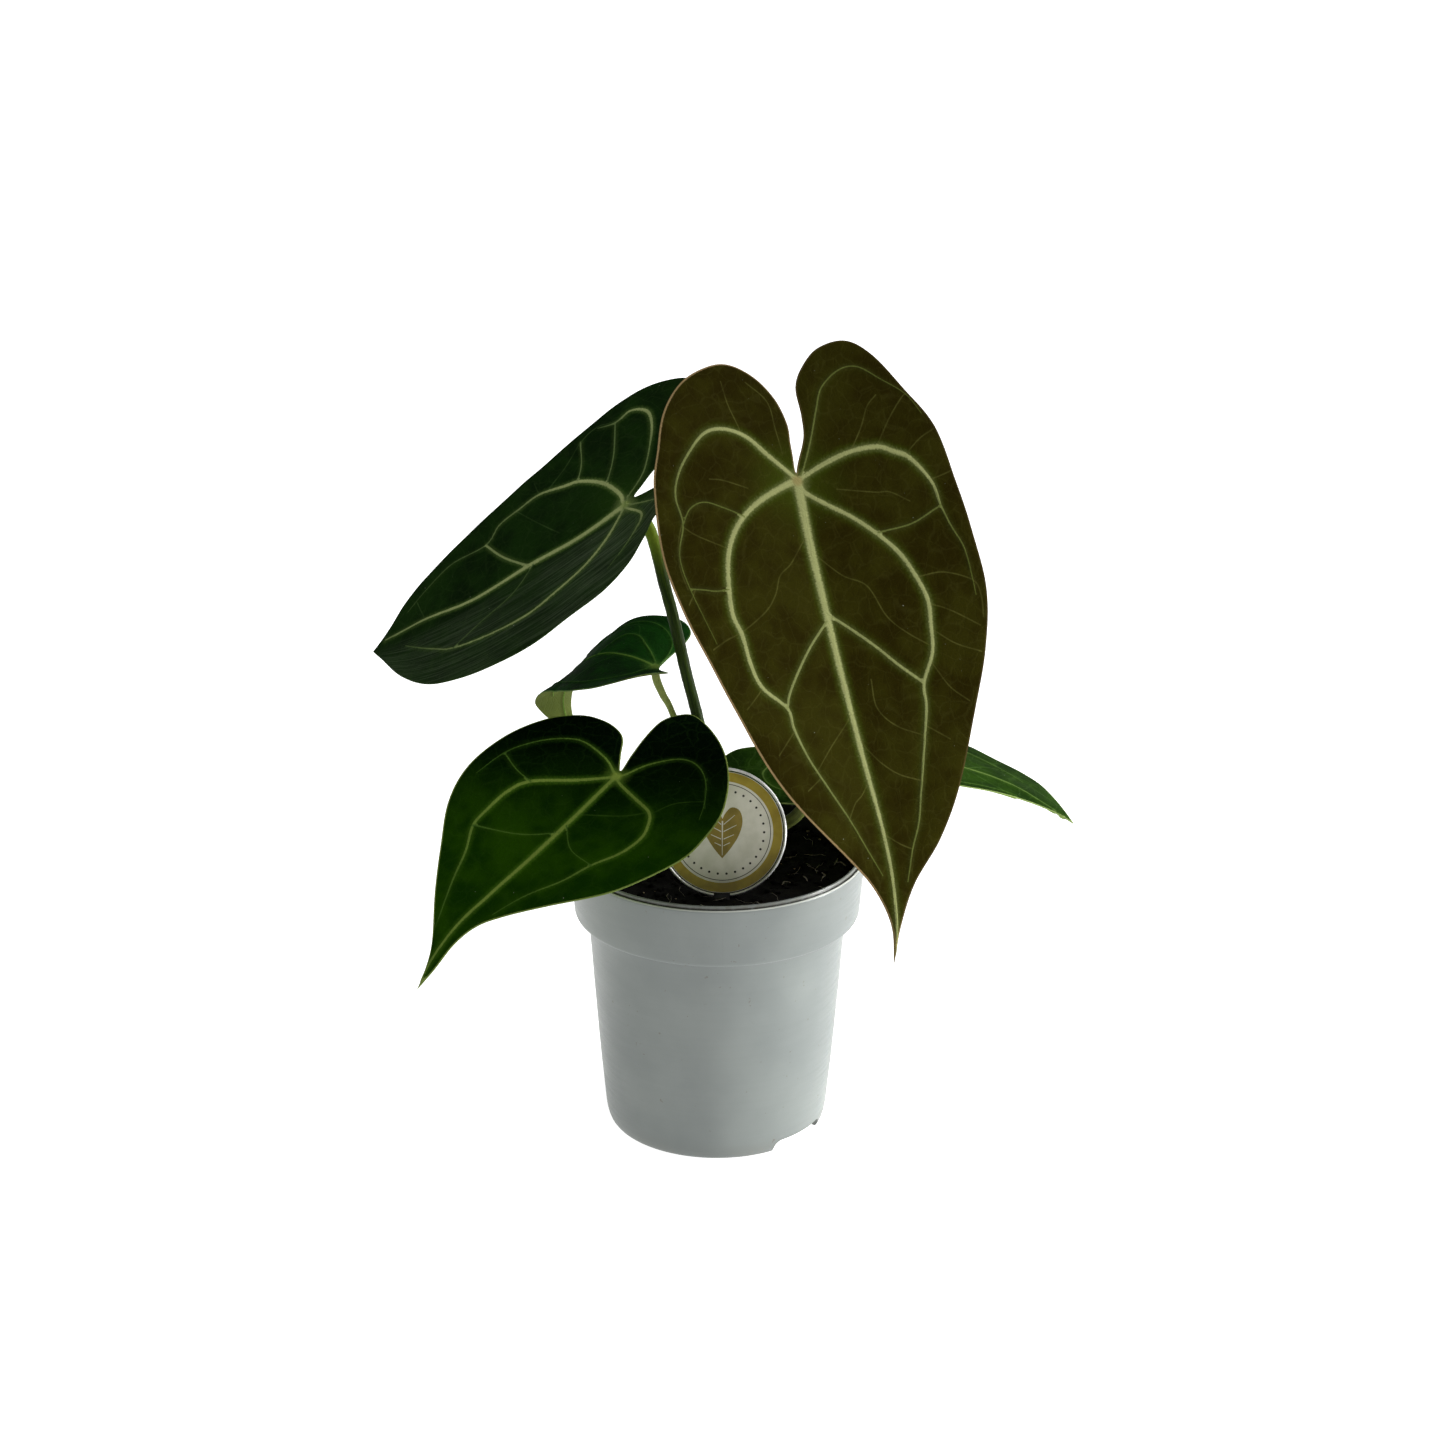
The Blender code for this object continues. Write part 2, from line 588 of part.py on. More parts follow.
def add_petiole(name, petiole, leaf, finish):
    """A round petiole from its socket to just below the blade, thicker where it joins it."""
    foot = socket_place(petiole)
    seat = BLADE_THICKNESS / 2 + RIDGE_BELOW + GAP / MM
    end = np.array(leaf["junction"]) - start_frame(leaf)[2] * seat
    path = [foot, foot + STRAIGHT_FOOT * petiole_lean(petiole), *petiole["path"], end]
    line = smooth_curve(path, PETIOLE_SPACING)
    to_end = np.linalg.norm(line - end, axis=1)
    to_foot = np.linalg.norm(line - foot, axis=1)
    swell = GENICULUM_SWELL * np.clip(1 + GENICULUM_FULL - to_end / GENICULUM_LENGTH, 0, 1)
    swell += FOOT_SWELL * np.clip(1 - to_foot / FOOT_LENGTH, 0, 1)
    radii = petiole["radius"] * (1 + swell)
    ahead = np.gradient(line, axis=0)
    ahead[-1] = start_frame(leaf)[2]
    ahead /= np.linalg.norm(ahead, axis=1)[:, None]
    side = np.cross(ahead[0], (0.0, 1.0, 0.0))
    points = []
    for centre, forward, radius in zip(line, ahead, radii):
        side = side - forward * (side @ forward)
        side /= np.linalg.norm(side)
        other = np.cross(forward, side)
        for x, y in circle(radius, PETIOLE_SIDES):
            points.append((centre + x * side + y * other) * MM)
    faces = [tuple(range(PETIOLE_SIDES - 1, -1, -1))]
    for ring in range(len(line) - 1):
        for step in range(PETIOLE_SIDES):
            low = ring * PETIOLE_SIDES
            after = (step + 1) % PETIOLE_SIDES
            faces.append((low + step, low + after, low + after + PETIOLE_SIDES,
                          low + step + PETIOLE_SIDES))
    last = (len(line) - 1) * PETIOLE_SIDES
    faces.append(tuple(range(last, last + PETIOLE_SIDES)))
    return add_object(name, points, faces, finish, 50)


def pot_outside():
    """The pot's outer side from the foot to the stepped lip, as (radius, height)."""
    lip_edge = POT_HEIGHT - RING_RISE
    inner_radius = RIM_RADIUS - LIP_WIDTH
    return [
        (FOOT_RADIUS, 0.0), FOOT_ROUND_MIDDLE, FOOT_ROUND_TOP, BODY_LOW, BODY_MIDDLE, BODY_HIGH,
        (BODY_TOP_RADIUS, BAND_BOTTOM - SHOULDER_DROP),
        (BAND_BOTTOM_RADIUS - LIP_ROUND, BAND_BOTTOM - LIP_ROUND / 2),
        (BAND_BOTTOM_RADIUS, BAND_BOTTOM + LIP_ROUND / 2),
        (RIM_RADIUS, lip_edge - LIP_ROUND), (RIM_RADIUS - LIP_ROUND, lip_edge),
        (inner_radius + RING_WIDTH, lip_edge), (inner_radius + RING_WIDTH, POT_HEIGHT),
        (inner_radius, POT_HEIGHT),
    ]


def pot_inside():
    """The pot's inner side from under the lip to the floor, as (radius, height)."""
    floor_top = FLOOR_Z + WALL
    return [
        (BAND_BOTTOM_RADIUS - WALL, BAND_BOTTOM + WALL),
        (BODY_TOP_RADIUS - WALL, BAND_BOTTOM - SHOULDER_DROP + WALL / 2),
        (BODY_HIGH[0] - WALL, BODY_HIGH[1]), (BODY_MIDDLE[0] - WALL, BODY_MIDDLE[1]),
        (BODY_LOW[0] - WALL, BODY_LOW[1]), (FOOT_ROUND_TOP[0] - WALL, floor_top + WALL),
        (FOOT_ROUND_TOP[0] - 2 * WALL, floor_top),
    ]


def add_pot(finish):
    """The pot with its foot ring, drainage notches and drain holes."""
    inner_foot = FOOT_RADIUS - FOOT_RING_WIDTH
    profile = [(0.0, FLOOR_Z), (inner_foot, FLOOR_Z), (inner_foot, 0.0), *pot_outside(),
               *pot_inside(), (0.0, FLOOR_Z + WALL)]
    pot = add_object("pot", *turned(profile, POT_SEGMENTS), finish)
    notch = rounded_rectangle(NOTCH_WIDTH, 2 * NOTCH_HEIGHT, NOTCH_ROUND)
    stand = Matrix.Rotation(math.radians(90), 4, "Y") @ Matrix.Rotation(math.radians(90), 4, "Z")
    for number, angle in enumerate(NOTCH_ANGLES, 1):
        turn = Matrix.Rotation(math.radians(angle), 4, "Z")
        out = Matrix.Translation((FOOT_RADIUS - NOTCH_REACH, 0, 0))
        points, faces = prism(notch, 2 * NOTCH_REACH)
        cut(pot, add_cutter(f"notch_{number}", moved(points, turn @ out @ stand), faces))
    for number in range(DRAIN_COUNT):
        turn = math.tau * (number + 0.5) / DRAIN_COUNT
        place = Matrix.Translation((DRAIN_RING_RADIUS * math.cos(turn),
                                    DRAIN_RING_RADIUS * math.sin(turn), FLOOR_Z - WALL))
        points, faces = prism(circle(DRAIN_RADIUS, DRAIN_SEGMENTS), 3 * WALL)
        cut(pot, add_cutter(f"drain_{number + 1}", moved(points, place), faces))
    return pot


def soil_height(x, y):
    """The height of the soil's uneven top."""
    return SOIL_TOP + sum(height * math.sin(along_x * x + along_y * y + start)
                          for height, along_x, along_y, start in SOIL_WAVES)


def add_soil(finish):
    """The peat filling, with plain holes for the stem and the label's stake."""
    high = BAND_BOTTOM + WALL + GAP
    top_radius = BAND_BOTTOM_RADIUS - WALL - GAP
    top_radius += (RIM_RADIUS - LIP_WIDTH - top_radius) * (SOIL_TOP - high) / (POT_HEIGHT - high)
    top_radius -= 2 * GAP
    sides = [(radius - GAP, height + GAP) for radius, height in pot_inside()[::-1]]
    profile = [(0.0, sides[0][1]), *sides]
    rings = [top_radius * (1 - (step / SOIL_RINGS) ** RING_CROWDING) for step in range(SOIL_RINGS)]
    profile += [(radius, SOIL_TOP) for radius in rings] + [(0.0, SOIL_TOP)]
    points, faces = turned(profile, SOIL_SEGMENTS)
    points = [(x, y, soil_height(x, y)) if z == SOIL_TOP else (x, y, z) for x, y, z in points]
    soil = add_object("soil", points, faces, finish, 80)
    stem_hole = prism(circle(STEM_RADIUS + 2 * GAP, STEM_SEGMENTS), POT_HEIGHT - STEM_BOTTOM)
    place = Matrix.Translation((*STEM_CENTRE, STEM_BOTTOM - GAP))
    cut(soil, add_cutter("stem_hole", moved(stem_hole[0], place), stem_hole[1]))
    slot = stake_block(GAP)
    cut(soil, add_cutter("stake_slot", moved(slot[0], label_place()), slot[1]))
    return soil


def add_stem(finish):
    """The squat stem with a socket for each petiole."""
    height = STEM_TOP - STEM_BOTTOM
    side = [(wide * STEM_RADIUS, STEM_BOTTOM + high * height) for wide, high in STEM_SIDE]
    profile = [(0.0, STEM_BOTTOM), *side, (0.0, STEM_TOP)]
    stem = add_object("stem", *turned(profile, STEM_SEGMENTS, STEM_CENTRE), finish)
    for name, petiole in PETIOLES.items():
        radius = petiole["radius"] * (1 + FOOT_SWELL) * MM + GAP
        radius /= math.cos(math.pi / SOCKET_SEGMENTS)
        aim = Vector(petiole_lean(petiole)).to_track_quat("Z", "Y").to_matrix().to_4x4()
        place = Matrix.Translation(Vector(socket_place(petiole) * MM)) @ aim
        place = place @ Matrix.Translation((0, 0, -GAP))
        points, faces = prism(circle(radius, SOCKET_SEGMENTS), SOCKET_LENGTH)
        cut(stem, add_cutter(f"socket_{name[-1]}", moved(points, place), faces))
    return stem


def label_place():
    """Where the label stands: its own X to the right, Y up its face and Z out of its face."""
    return Matrix.Translation(LABEL_CENTRE) @ Matrix.Rotation(math.radians(90) - LABEL_LEAN, 4, "X")


def stake_block(margin):
    """The stake, behind the disc, with a margin on every side."""
    half = STAKE_WIDTH / 2 + margin
    low = -LABEL_RADIUS + STAKE_TOP - STAKE_LENGTH
    high = -LABEL_RADIUS + STAKE_TOP
    outline = [(-half, low + half), (-half / 3, low - margin), (half / 3, low - margin),
               (half, low + half), (half, high + margin), (-half, high + margin)]
    points, faces = prism(outline, STAKE_DEPTH + 2 * margin)
    back = -DISC_DEPTH / 2 - GAP - STAKE_DEPTH - margin
    return moved(points, Matrix.Translation((0, 0, back))), faces


def bezel_ring():
    """The thin ring round the label's face, open at the bottom where the stake passes."""
    inner = LABEL_RADIUS - BEZEL_WIDTH
    half = BEZEL_DEPTH / 2
    section = [(inner, -half), (LABEL_RADIUS, -half), (LABEL_RADIUS, half), (inner, half)]
    sweep = math.tau - BEZEL_OPENING
    points = []
    for step in range(BEZEL_STEPS + 1):
        turn = -math.pi / 2 + BEZEL_OPENING / 2 + sweep * step / BEZEL_STEPS
        points += [(radius * math.cos(turn), radius * math.sin(turn), z) for radius, z in section]
    faces = [(0, 1, 2, 3), tuple(4 * BEZEL_STEPS + corner for corner in (3, 2, 1, 0))]
    for step in range(BEZEL_STEPS):
        for corner in range(4):
            after = (corner + 1) % 4
            here = 4 * step
            faces.append((here + corner, here + 4 + corner, here + 4 + after, here + after))
    return points, faces


def add_label(face_finish, ring_finish, stake_finish):
    """The label's disc, ring and stake, all parented to one empty at the disc's middle."""
    stand = bpy.data.objects.new("label_stand", None)
    stand.matrix_world = label_place()
    bpy.context.scene.collection.objects.link(stand)
    points, faces = prism(circle(LABEL_RADIUS - BEZEL_WIDTH - GAP, DISC_SEGMENTS), DISC_DEPTH)
    points = moved(points, Matrix.Translation((0, 0, -DISC_DEPTH / 2)))
    pieces = [
        add_object("label_disc", points, faces, face_finish),
        add_object("label_bezel", *bezel_ring(), ring_finish),
        add_object("label_stake", *stake_block(0.0), stake_finish),
    ]
    for piece in pieces:
        piece.parent = stand


def main():
    for old in list(bpy.data.objects):
        bpy.data.objects.remove(old)
    add_pot(material("pot_plastic", (0.42, 0.45, 0.42), 0.42))
    add_soil(material("peat", (0.012, 0.010, 0.008), 0.95))
    add_stem(material("stem_bark", (0.06, 0.05, 0.02), 0.7))
    add_label(material("label_print", (0.62, 0.62, 0.54), 0.35),
              material("label_ring", (0.70, 0.71, 0.70), 0.25, 1.0),
              material("stake_plastic", (0.01, 0.01, 0.01), 0.5))
    colours = {
        "leaf_1": (0.040, 0.030, 0.006), "leaf_2": (0.008, 0.030, 0.010),
        "leaf_3": (0.010, 0.060, 0.012), "leaf_4": (0.012, 0.055, 0.006),
        "leaf_5": (0.040, 0.110, 0.020),
    }
    for name, leaf in LEAVES.items():
        add_blade(name, leaf, material(f"{name}_skin", colours[name], 0.6))
    greens = {"petiole_3": (0.20, 0.26, 0.06)}
    for name, petiole in PETIOLES.items():
        leaf = LEAVES[name.replace("petiole", "leaf")]
        green = greens.get(name, (0.05, 0.09, 0.02))
        add_petiole(name, petiole, leaf, material(f"{name}_skin", green, 0.5))


main()
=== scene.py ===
"""The looks of a potted anthurium clarinervium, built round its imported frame: fine blades with
their veins, petioles, stem, peat, pot and label, then the floor, the lights and the camera.

The frame is in metres, +Z up. The tables that shape the leaves and petioles repeat part.py's, in
millimetres, and MM turns them into metres. Colours are given as the photograph's 0 to 255 values.
"""

import math
import random

import bpy
import numpy as np
from mathutils import Matrix, Vector, noise
from mathutils.geometry import delaunay_2d_cdt
from mathutils.kdtree import KDTree


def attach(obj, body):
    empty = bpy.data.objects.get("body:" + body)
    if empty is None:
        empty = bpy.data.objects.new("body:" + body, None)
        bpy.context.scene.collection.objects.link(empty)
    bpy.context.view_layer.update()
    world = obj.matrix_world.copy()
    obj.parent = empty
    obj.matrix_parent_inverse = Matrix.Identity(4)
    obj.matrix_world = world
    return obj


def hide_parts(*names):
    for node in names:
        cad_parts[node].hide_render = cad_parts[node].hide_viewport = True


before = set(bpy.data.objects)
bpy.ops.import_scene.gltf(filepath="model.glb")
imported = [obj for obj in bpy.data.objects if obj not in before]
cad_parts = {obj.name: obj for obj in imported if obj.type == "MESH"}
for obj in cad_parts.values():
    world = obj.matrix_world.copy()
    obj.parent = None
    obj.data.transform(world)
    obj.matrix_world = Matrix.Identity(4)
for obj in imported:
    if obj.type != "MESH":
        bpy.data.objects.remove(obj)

MM = 0.001

# Pot, soil, stem and label, as in part.py, in metres
WALL = 0.0014
FOOT_RADIUS = 0.0434
FLOOR_Z = 0.0062
NOTCH_ANGLES = (-39, 141)
NOTCH_WIDTH = 0.029
NOTCH_HEIGHT = 0.0050
NOTCH_ROUND = 0.0032
NOTCH_REACH = 0.0064
DRAIN_RADIUS = 0.0045
DRAIN_RING_RADIUS = 0.026
DRAIN_COUNT = 4
GAP = 0.00035
SOIL_TOP = 0.1080
SOIL_WAVES = ((0.0004, 190, 170, 1.3), (0.0003, 410, -370, 2.1), (0.0002, 300, 620, 0.4))
STEM_CENTRE = (0.0050, 0.0050)
STEM_RADIUS = 0.0105
STEM_BOTTOM = 0.100
STEM_TOP = 0.1190
SOCKET_RING_RADIUS = 0.0060
SOCKET_BOTTOM = 0.1130
LABEL_CENTRE = (0.0020, -0.0198, 0.1335)
LABEL_LEAN = math.radians(22)
LABEL_RADIUS = 0.0257
BEZEL_WIDTH = 0.0012
BEZEL_OPENING = math.radians(15)
DISC_DEPTH = 0.0012
STAKE_WIDTH = 0.0060
STAKE_DEPTH = 0.0015
STAKE_TOP = 0.012
STAKE_LENGTH = 0.056

# The pot's section in millimetres, from its axis out under the floor, up the outside, over the
# lip and down the inside, as (radius, height)
POT_SECTION = [
    (0, 6.2), (41.5, 6.2), (41.8, 5.9), (41.8, 0.3), (42.1, 0), (43.1, 0), (43.6, 0.25),
    (44.2, 1.1), (44.7, 2.4), (45.15, 4.2), (45.5, 6.5), (45.85, 10), (46.4, 16), (47.3, 25),
    (48.3, 37), (49.3, 50), (50.3, 63), (51.2, 76), (52.05, 85), (52.5, 89.4), (52.7, 90.3),
    (53.1, 90.95), (53.8, 91.3), (56.6, 91.9), (57.3, 92.1), (57.65, 92.4), (57.85, 92.9),
    (57.95, 93.6), (58.55, 101), (59.3, 109), (59.95, 115.6), (59.98, 116.2), (59.88, 116.6),
    (59.65, 116.88), (59.4, 116.96), (59.2, 116.85), (59.05, 116.6), (58.8, 116.5),
    (58.7, 116.8), (58.66, 117.9), (58.55, 118.22), (58.3, 118.38), (57.95, 118.38),
    (57.7, 118.22), (57.6, 117.9), (57.5, 115), (56.4, 94), (56.2, 93.5), (55.6, 93.2),
    (52.2, 92.5), (51.6, 92.2), (51.4, 91.6), (49.8, 76), (47.9, 50), (45.9, 25), (44.6, 11),
    (44.1, 9), (43.2, 8), (42, 7.6), (0, 7.6),
]
POT_SEGMENTS = 168

# Blades, in millimetres
BLADE_THICKNESS = 0.8
RIDGE_ABOVE = 0.4
RIDGE_BELOW = 0.7
STRIDE = 2.0
LONGEST_LOBE = 60
SOFT_FOLD = 5.0
EDGE_STEP = 1.2
LINE_STEP = 1.0
GRID_STEP = 1.1
LINE_MERGE = 0.4
GRID_CLEARANCE = 0.6
EDGE_PUSH = 0.15
EDGE_SHARE = 0.55
EDGE_REACH = 1.5
PUFF = 0.25
PUFF_REACH = 3.5
WAVE = 0.22
WAVE_LENGTH = 15.0
WAVE_REACH = 8.0
FAR = 40.0
RIDGE_WIDENING = 1.3
THIN_HALF = 0.2
THIN_REACH = 5.0
# Where along a vein its half widths are given, and the widths of the faintest and strongest veins
WIDTH_PLACES = (0.0, 0.15, 0.4, 0.7, 1.0)
FAINT_HALF = 0.18
STRONG_HALF = 1.0

# What lies on the peat, in millimetres: clear room round the stem and round the label's stake
STEM_ROOM = 12
STAKE_PLACE = (2, -13)
STAKE_ROOM = 5
CRUMB_COUNT = 620
GRIT_COUNT = 46
SPECK_COUNT = 60
FIBRE_COUNT = 60
FIBRE_REACH = 55
# The papery scales round the stem: each is a grid of points, bent round the stem
SCALE_COUNT = 9
SCALE_ROWS = 11
SCALE_COLUMNS = 7
SCALE_SKIN = 0.35
SCALE_RADIUS = 10.1
SCALE_FOOT = 106
# The pot's mould seam and the groove in its rim, in millimetres
SEAM_PLACE = 2.4
GROOVE_RADIUS = 58.85
# The label's face and ring, in millimetres
FACE_SEGMENTS = 120
FACE_BEVEL = 0.15
RING_SIDES = 16
RING_STEPS = 181

# Each blade laid flat, in millimetres and degrees, with its thin veins: u runs from the junction
# to the tip and v to the left. The shapes are part.py's, but leaf_1's notch goes deeper here and
# leaf_2's upper edge follows the photograph more closely
LEAVES = {
    "leaf_1": {
        "junction": (30, 0, 273), "heading": -64, "dip": 53, "roll": 0, "length": 191,
        "droop": (10,), "sweep": (0,), "twist": (0,), "lobe": 10, "fold": (8,),
        "outline": [
            (191, 0), (177, 5), (162, 13), (147, 26), (129, 37), (104, 48), (78, 59), (55, 65),
            (30, 65), (11, 64), (-12, 62), (-30, 54), (-46, 46), (-54, 37), (-53, 25), (-46, 16),
            (-38, 11), (-27, 10), (-19, 8.7), (-14, 6.6), (-9.5, 4), (-5.5, 1.9), (-3, 0.8),
            (-5.5, 0.6), (-10, 1.3), (-16, 2), (-24, 3), (-35, 1), (-45, -5), (-51, -14),
            (-51, -24), (-45, -38), (-33, -50), (-17, -58), (-2, -64), (24, -68), (46, -65),
            (68, -58), (88, -51), (112, -41), (130, -29), (148, -14), (162, -4), (177, 1),
        ],
        "midrib": [(0, 0), (30, -2), (71, -2), (108, 0), (138, 3), (158, 4), (177, 3), (188, 1)],
        "veins": [
            [(-3, -2), (-12, -10), (-20, -17), (-24, -26), (-23, -35), (-16, -44), (-7, -52),
             (2, -56), (13, -56), (25, -61), (38, -60), (60, -54)],
            [(1, -5), (6, -18), (12, -28), (19, -35), (28, -40), (40, -43), (50, -44), (58, -42),
             (70, -41), (79, -38), (88, -29), (96, -28), (108, -24), (118, -19), (133, -11),
             (146, -5), (157, 0)],
            [(-3, 3), (-13, 9), (-27, 16), (-36, 21), (-42, 30), (-42, 38), (-35, 46), (-27, 54),
             (-18, 58)],
            [(-5, 13), (-8, 25), (-8, 36), (-5, 42), (-1, 48), (10, 54), (20, 55), (29, 57),
             (39, 60), (57, 60)],
            [(5, 2), (11, 9), (18, 18), (26, 26), (35, 33), (44, 37), (55, 40), (65, 39),
             (76, 37), (87, 31), (96, 30), (107, 27), (118, 24), (129, 21), (140, 18),
             (149, 14), (161, 10)],
        ],
        "links": [
            [(57, -3), (66, -13), (75, -21), (83, -27), (88, -29)],
            [(12, -28), (8, -36), (5, -44), (7, -51), (13, -56)],
            [(40, -43), (40, -49), (39, -54), (38, -60)],
            [(26, 27), (25, 41), (21, 52), (20, 55)],
            [(54, -2), (61, 6), (70, 15), (78, 22), (85, 29), (87, 31)],
        ],
        "thin": [
            [(12, -56), (20, -60), (29, -62), (38, -61)],
            [(-2, -55), (5, -56), (12, -55)],
            [(39, -58), (44, -62)],
            [(57, -42), (59, -49), (62, -56)],
            [(22, -2), (27, -7), (33, -13), (37, -19), (44, -23), (50, -29), (56, -40)],
            [(30, -1), (40, 8), (46, 17), (59, 22), (67, 29), (74, 38)],
            [(6, 15), (10, 30), (11, 36), (16, 43)],
            [(-8, 25), (-17, 32), (-25, 37), (-29, 42)],
            [(-8, 36), (-18, 44), (-26, 52), (-28, 56)],
            [(-3, 47), (-8, 54), (-11, 61)],
            [(9, 54), (8, 59), (7, 63)],
            [(46, 38), (46, 49), (51, 60), (57, 62), (66, 61)],
            [(57, 40), (61, 48), (69, 59)],
            [(67, 39), (74, 47), (79, 57)],
            [(80, 36), (90, 41), (97, 48)],
            [(-4, -39), (-3, -33), (1, -23)],
            [(14, -56), (18, -51), (24, -39)],
            [(-23, -19), (-34, -21), (-44, -21)],
            [(-12, -3), (-22, -3), (-34, -3), (-43, -10)],
            [(79, -38), (83, -43), (86, -47)],
            [(97, -28), (105, -37)],
            [(92, -1), (96, -3), (105, -13), (114, -22)],
            [(116, -20), (120, -27)],
            [(120, 1), (125, -3), (128, -7), (134, -11)],
            [(102, 0), (107, 2), (110, 4), (115, 8), (120, 14), (124, 23)],
            [(82, 10), (93, 10), (101, 16), (107, 27)],
            [(103, 28), (110, 37)],
            [(141, 3), (146, 9), (149, 14)],
        ],
    },
    "leaf_2": {
        "junction": (-37.4, 32, 252.6), "heading": 196, "dip": 32, "roll": -16, "length": 125,
        "droop": (13,), "sweep": (-29,), "twist": (0,), "lobe": 8, "fold": (6,),
        "outline": [
            (127, 1), (119, 9), (106, 24), (93, 36), (81, 42), (66, 46), (51, 47), (37, 44),
            (22, 41), (11, 35), (2, 26), (-8, 17), (-22, 17), (-35, 14), (-40, 9), (-35, 4),
            (-21, 2), (-5, -1), (-11, -5), (-20, -9), (-34, -12), (-46, -18), (-54, -30),
            (-52, -42), (-44.3, -48.2), (-34, -51.6), (-22.5, -52.1), (-10, -50.7), (3.5, -48.9),
            (20, -46.5), (36.5, -44), (52.5, -40.2), (68, -36.2), (83, -31), (98, -24.8),
            (105.5, -20.3), (112.5, -14.7), (119, -7.5), (124.5, -1.5),
        ],
        "midrib": [(0, 0), (22, 1), (46, -1), (73, 0), (97, -3), (120, -2)],
        "veins": [
            [(0, -2), (-1, -7), (1, -16), (5, -22), (11, -27), (17, -29), (30, -33), (42, -32),
             (54, -30), (63, -24), (82, -24), (97, -18), (108, -11)],
            [(-3, -3), (-14, -10), (-24, -23), (-29, -32), (-30, -39), (-25, -44), (-17, -43),
             (-10, -46)],
            [(4, 4), (14, 13), (25, 20), (39, 25), (50, 28), (65, 27), (82, 23), (92, 17),
             (107, 7)],
            [(0, 3), (-3, 12), (4, 20), (10, 25), (18, 31)],
            [(-3, 3), (-12, 9), (-24, 11), (-33, 9)],
        ],
        "links": [
            [(63, -24), (56, -13), (46, -1)],
            [(1, -16), (-8, -27), (-17, -43)],
            [(44, 0), (55, 10), (69, 16), (82, 23)],
            [(-1, -45), (5, -34), (11, -27)],
        ],
        "thin": [
            [(43, -31), (35, -18), (29, -8)],
            [(103, -14), (99, -5)],
            [(-25, -44), (-17, -44), (-10, -47), (-1, -45), (12, -38), (24, -33)],
            [(-2, 4), (-1, 7), (0, 13), (5, 21), (12, 27)],
            [(30, -33), (30, -40)],
        ],
    },
    "leaf_3": {
        "junction": (-25.5, 19.5, 188.5), "heading": 143, "dip": -5, "roll": -1, "length": 78,
        "droop": (-12, 172, 128, 502), "sweep": (0, 43, -94), "twist": (-96, -21, 69, -42),
        "lobe": -140, "fold": (5, 0, 30),
        "outline": [
            (78, 0), (74, 4), (70, 7), (65, 11), (60, 15), (55, 17), (50, 19), (42, 22), (34, 25),
            (26, 28), (16, 30), (6, 31), (-3, 28), (-9, 22), (-12, 14), (-12, 7), (-8, 3),
            (-3, 1), (-1, -2), (0, -6), (1, -11), (2, -18), (3, -24), (5, -30), (9, -33),
            (14, -33), (20, -31), (27, -29), (34, -27), (42, -24), (50, -20), (58, -15),
            (65, -10), (70, -7), (75, -4),
        ],
        "midrib": [(0, 0), (8, -1), (18, -1), (28, -1), (45, 0), (60, 0), (75, 0)],
        "veins": [
            [(1, -2), (7, -7), (13, -11), (19, -15), (25, -15), (28, -11), (31, -1)],
            [(0, -3), (2, -11), (6, -19), (13, -24), (22, -25), (34, -21), (48, -14)],
            [(1, 2), (1, 8), (2, 14), (7, 20), (18, 23), (30, 20), (44, 14), (58, 7)],
        ],
        "links": [],
        "thin": [
            [(19, -15), (24, -22), (34, -21)],
            [(18, -1), (26, 9), (30, 20)],
        ],
    },
    "leaf_4": {
        "junction": (-40, -18, 156), "heading": -138, "dip": 19, "roll": -18, "length": 118,
        "droop": (20,), "sweep": (0,), "twist": (0,), "lobe": 10, "fold": (8,),
        "outline": [
            (118, 8), (108, 8), (95, 7), (85, 9), (76, 15), (62, 27), (45, 42), (29, 50),
            (14, 54), (0, 52), (-13, 47), (-26, 37), (-37, 24), (-44, 10), (-46, -2),
            (-41, -7), (-33, -9), (-22, -7), (-12, -4), (-3, -1), (-9, -7), (-15, -12),
            (-17, -17), (-16, -24), (-11, -32), (1, -40), (19, -45), (38, -45), (54, -39),
            (70, -27), (85, -15), (101, -1), (111, 5),
        ],
        "midrib": [(0, 0), (26, 3), (50, 4), (73, 3), (89, 2), (105, 4), (115, 7)],
        "veins": [
            [(-1, -3), (-3, -9), (-3, -18), (-1, -24), (5, -30), (13, -35), (24, -39),
             (38, -40)],
            [(3, -2), (13, -10), (26, -22), (35, -25), (46, -25), (55, -24), (65, -18),
             (77, -13), (92, -6)],
            [(-3, 2), (-13, 5), (-23, 12), (-25, 20), (-21, 29), (-12, 38), (-3, 44)],
            [(2, 4), (4, 15), (6, 25), (11, 30), (18, 33), (28, 32), (39, 27), (51, 23),
             (64, 16), (78, 11)],
        ],
        "links": [
            [(24, -39), (26, -30), (26, -22)],
            [(55, -24), (46, -8), (35, 4)],
            [(30, 3), (38, 14), (39, 27)],
        ],
        "thin": [
            [(92, -6), (99, -3), (106, 2)],
            [(-22, 29), (-17, 33), (-9, 41)],
            [(4, 27), (-4, 30), (-12, 38)],
            [(6, 25), (14, 18), (24, 3)],
        ],
    },
    "leaf_5": {
        "junction": (52.3, 42, 145.2), "heading": -13, "dip": 5, "roll": 1, "length": 97,
        "droop": (-9, 34, 61), "sweep": (0,), "twist": (-29, 23), "lobe": -5,
        "fold": (-8, 4, 6),
        "outline": [
            (100, 3), (89, 12), (81, 18), (73, 21), (61, 25), (49, 31), (37, 36), (21, 41),
            (2, 44), (-17, 41), (-29, 33), (-34, 22), (-31, 13), (-23, 8), (-13, 4), (-5, 1),
            (-19, -5), (-33, -9), (-44, -15), (-48, -26), (-41, -37), (-26, -44), (-8, -46),
            (12, -43), (32, -37), (51, -26), (66, -16), (75, -9), (83, -3), (91, 1),
        ],
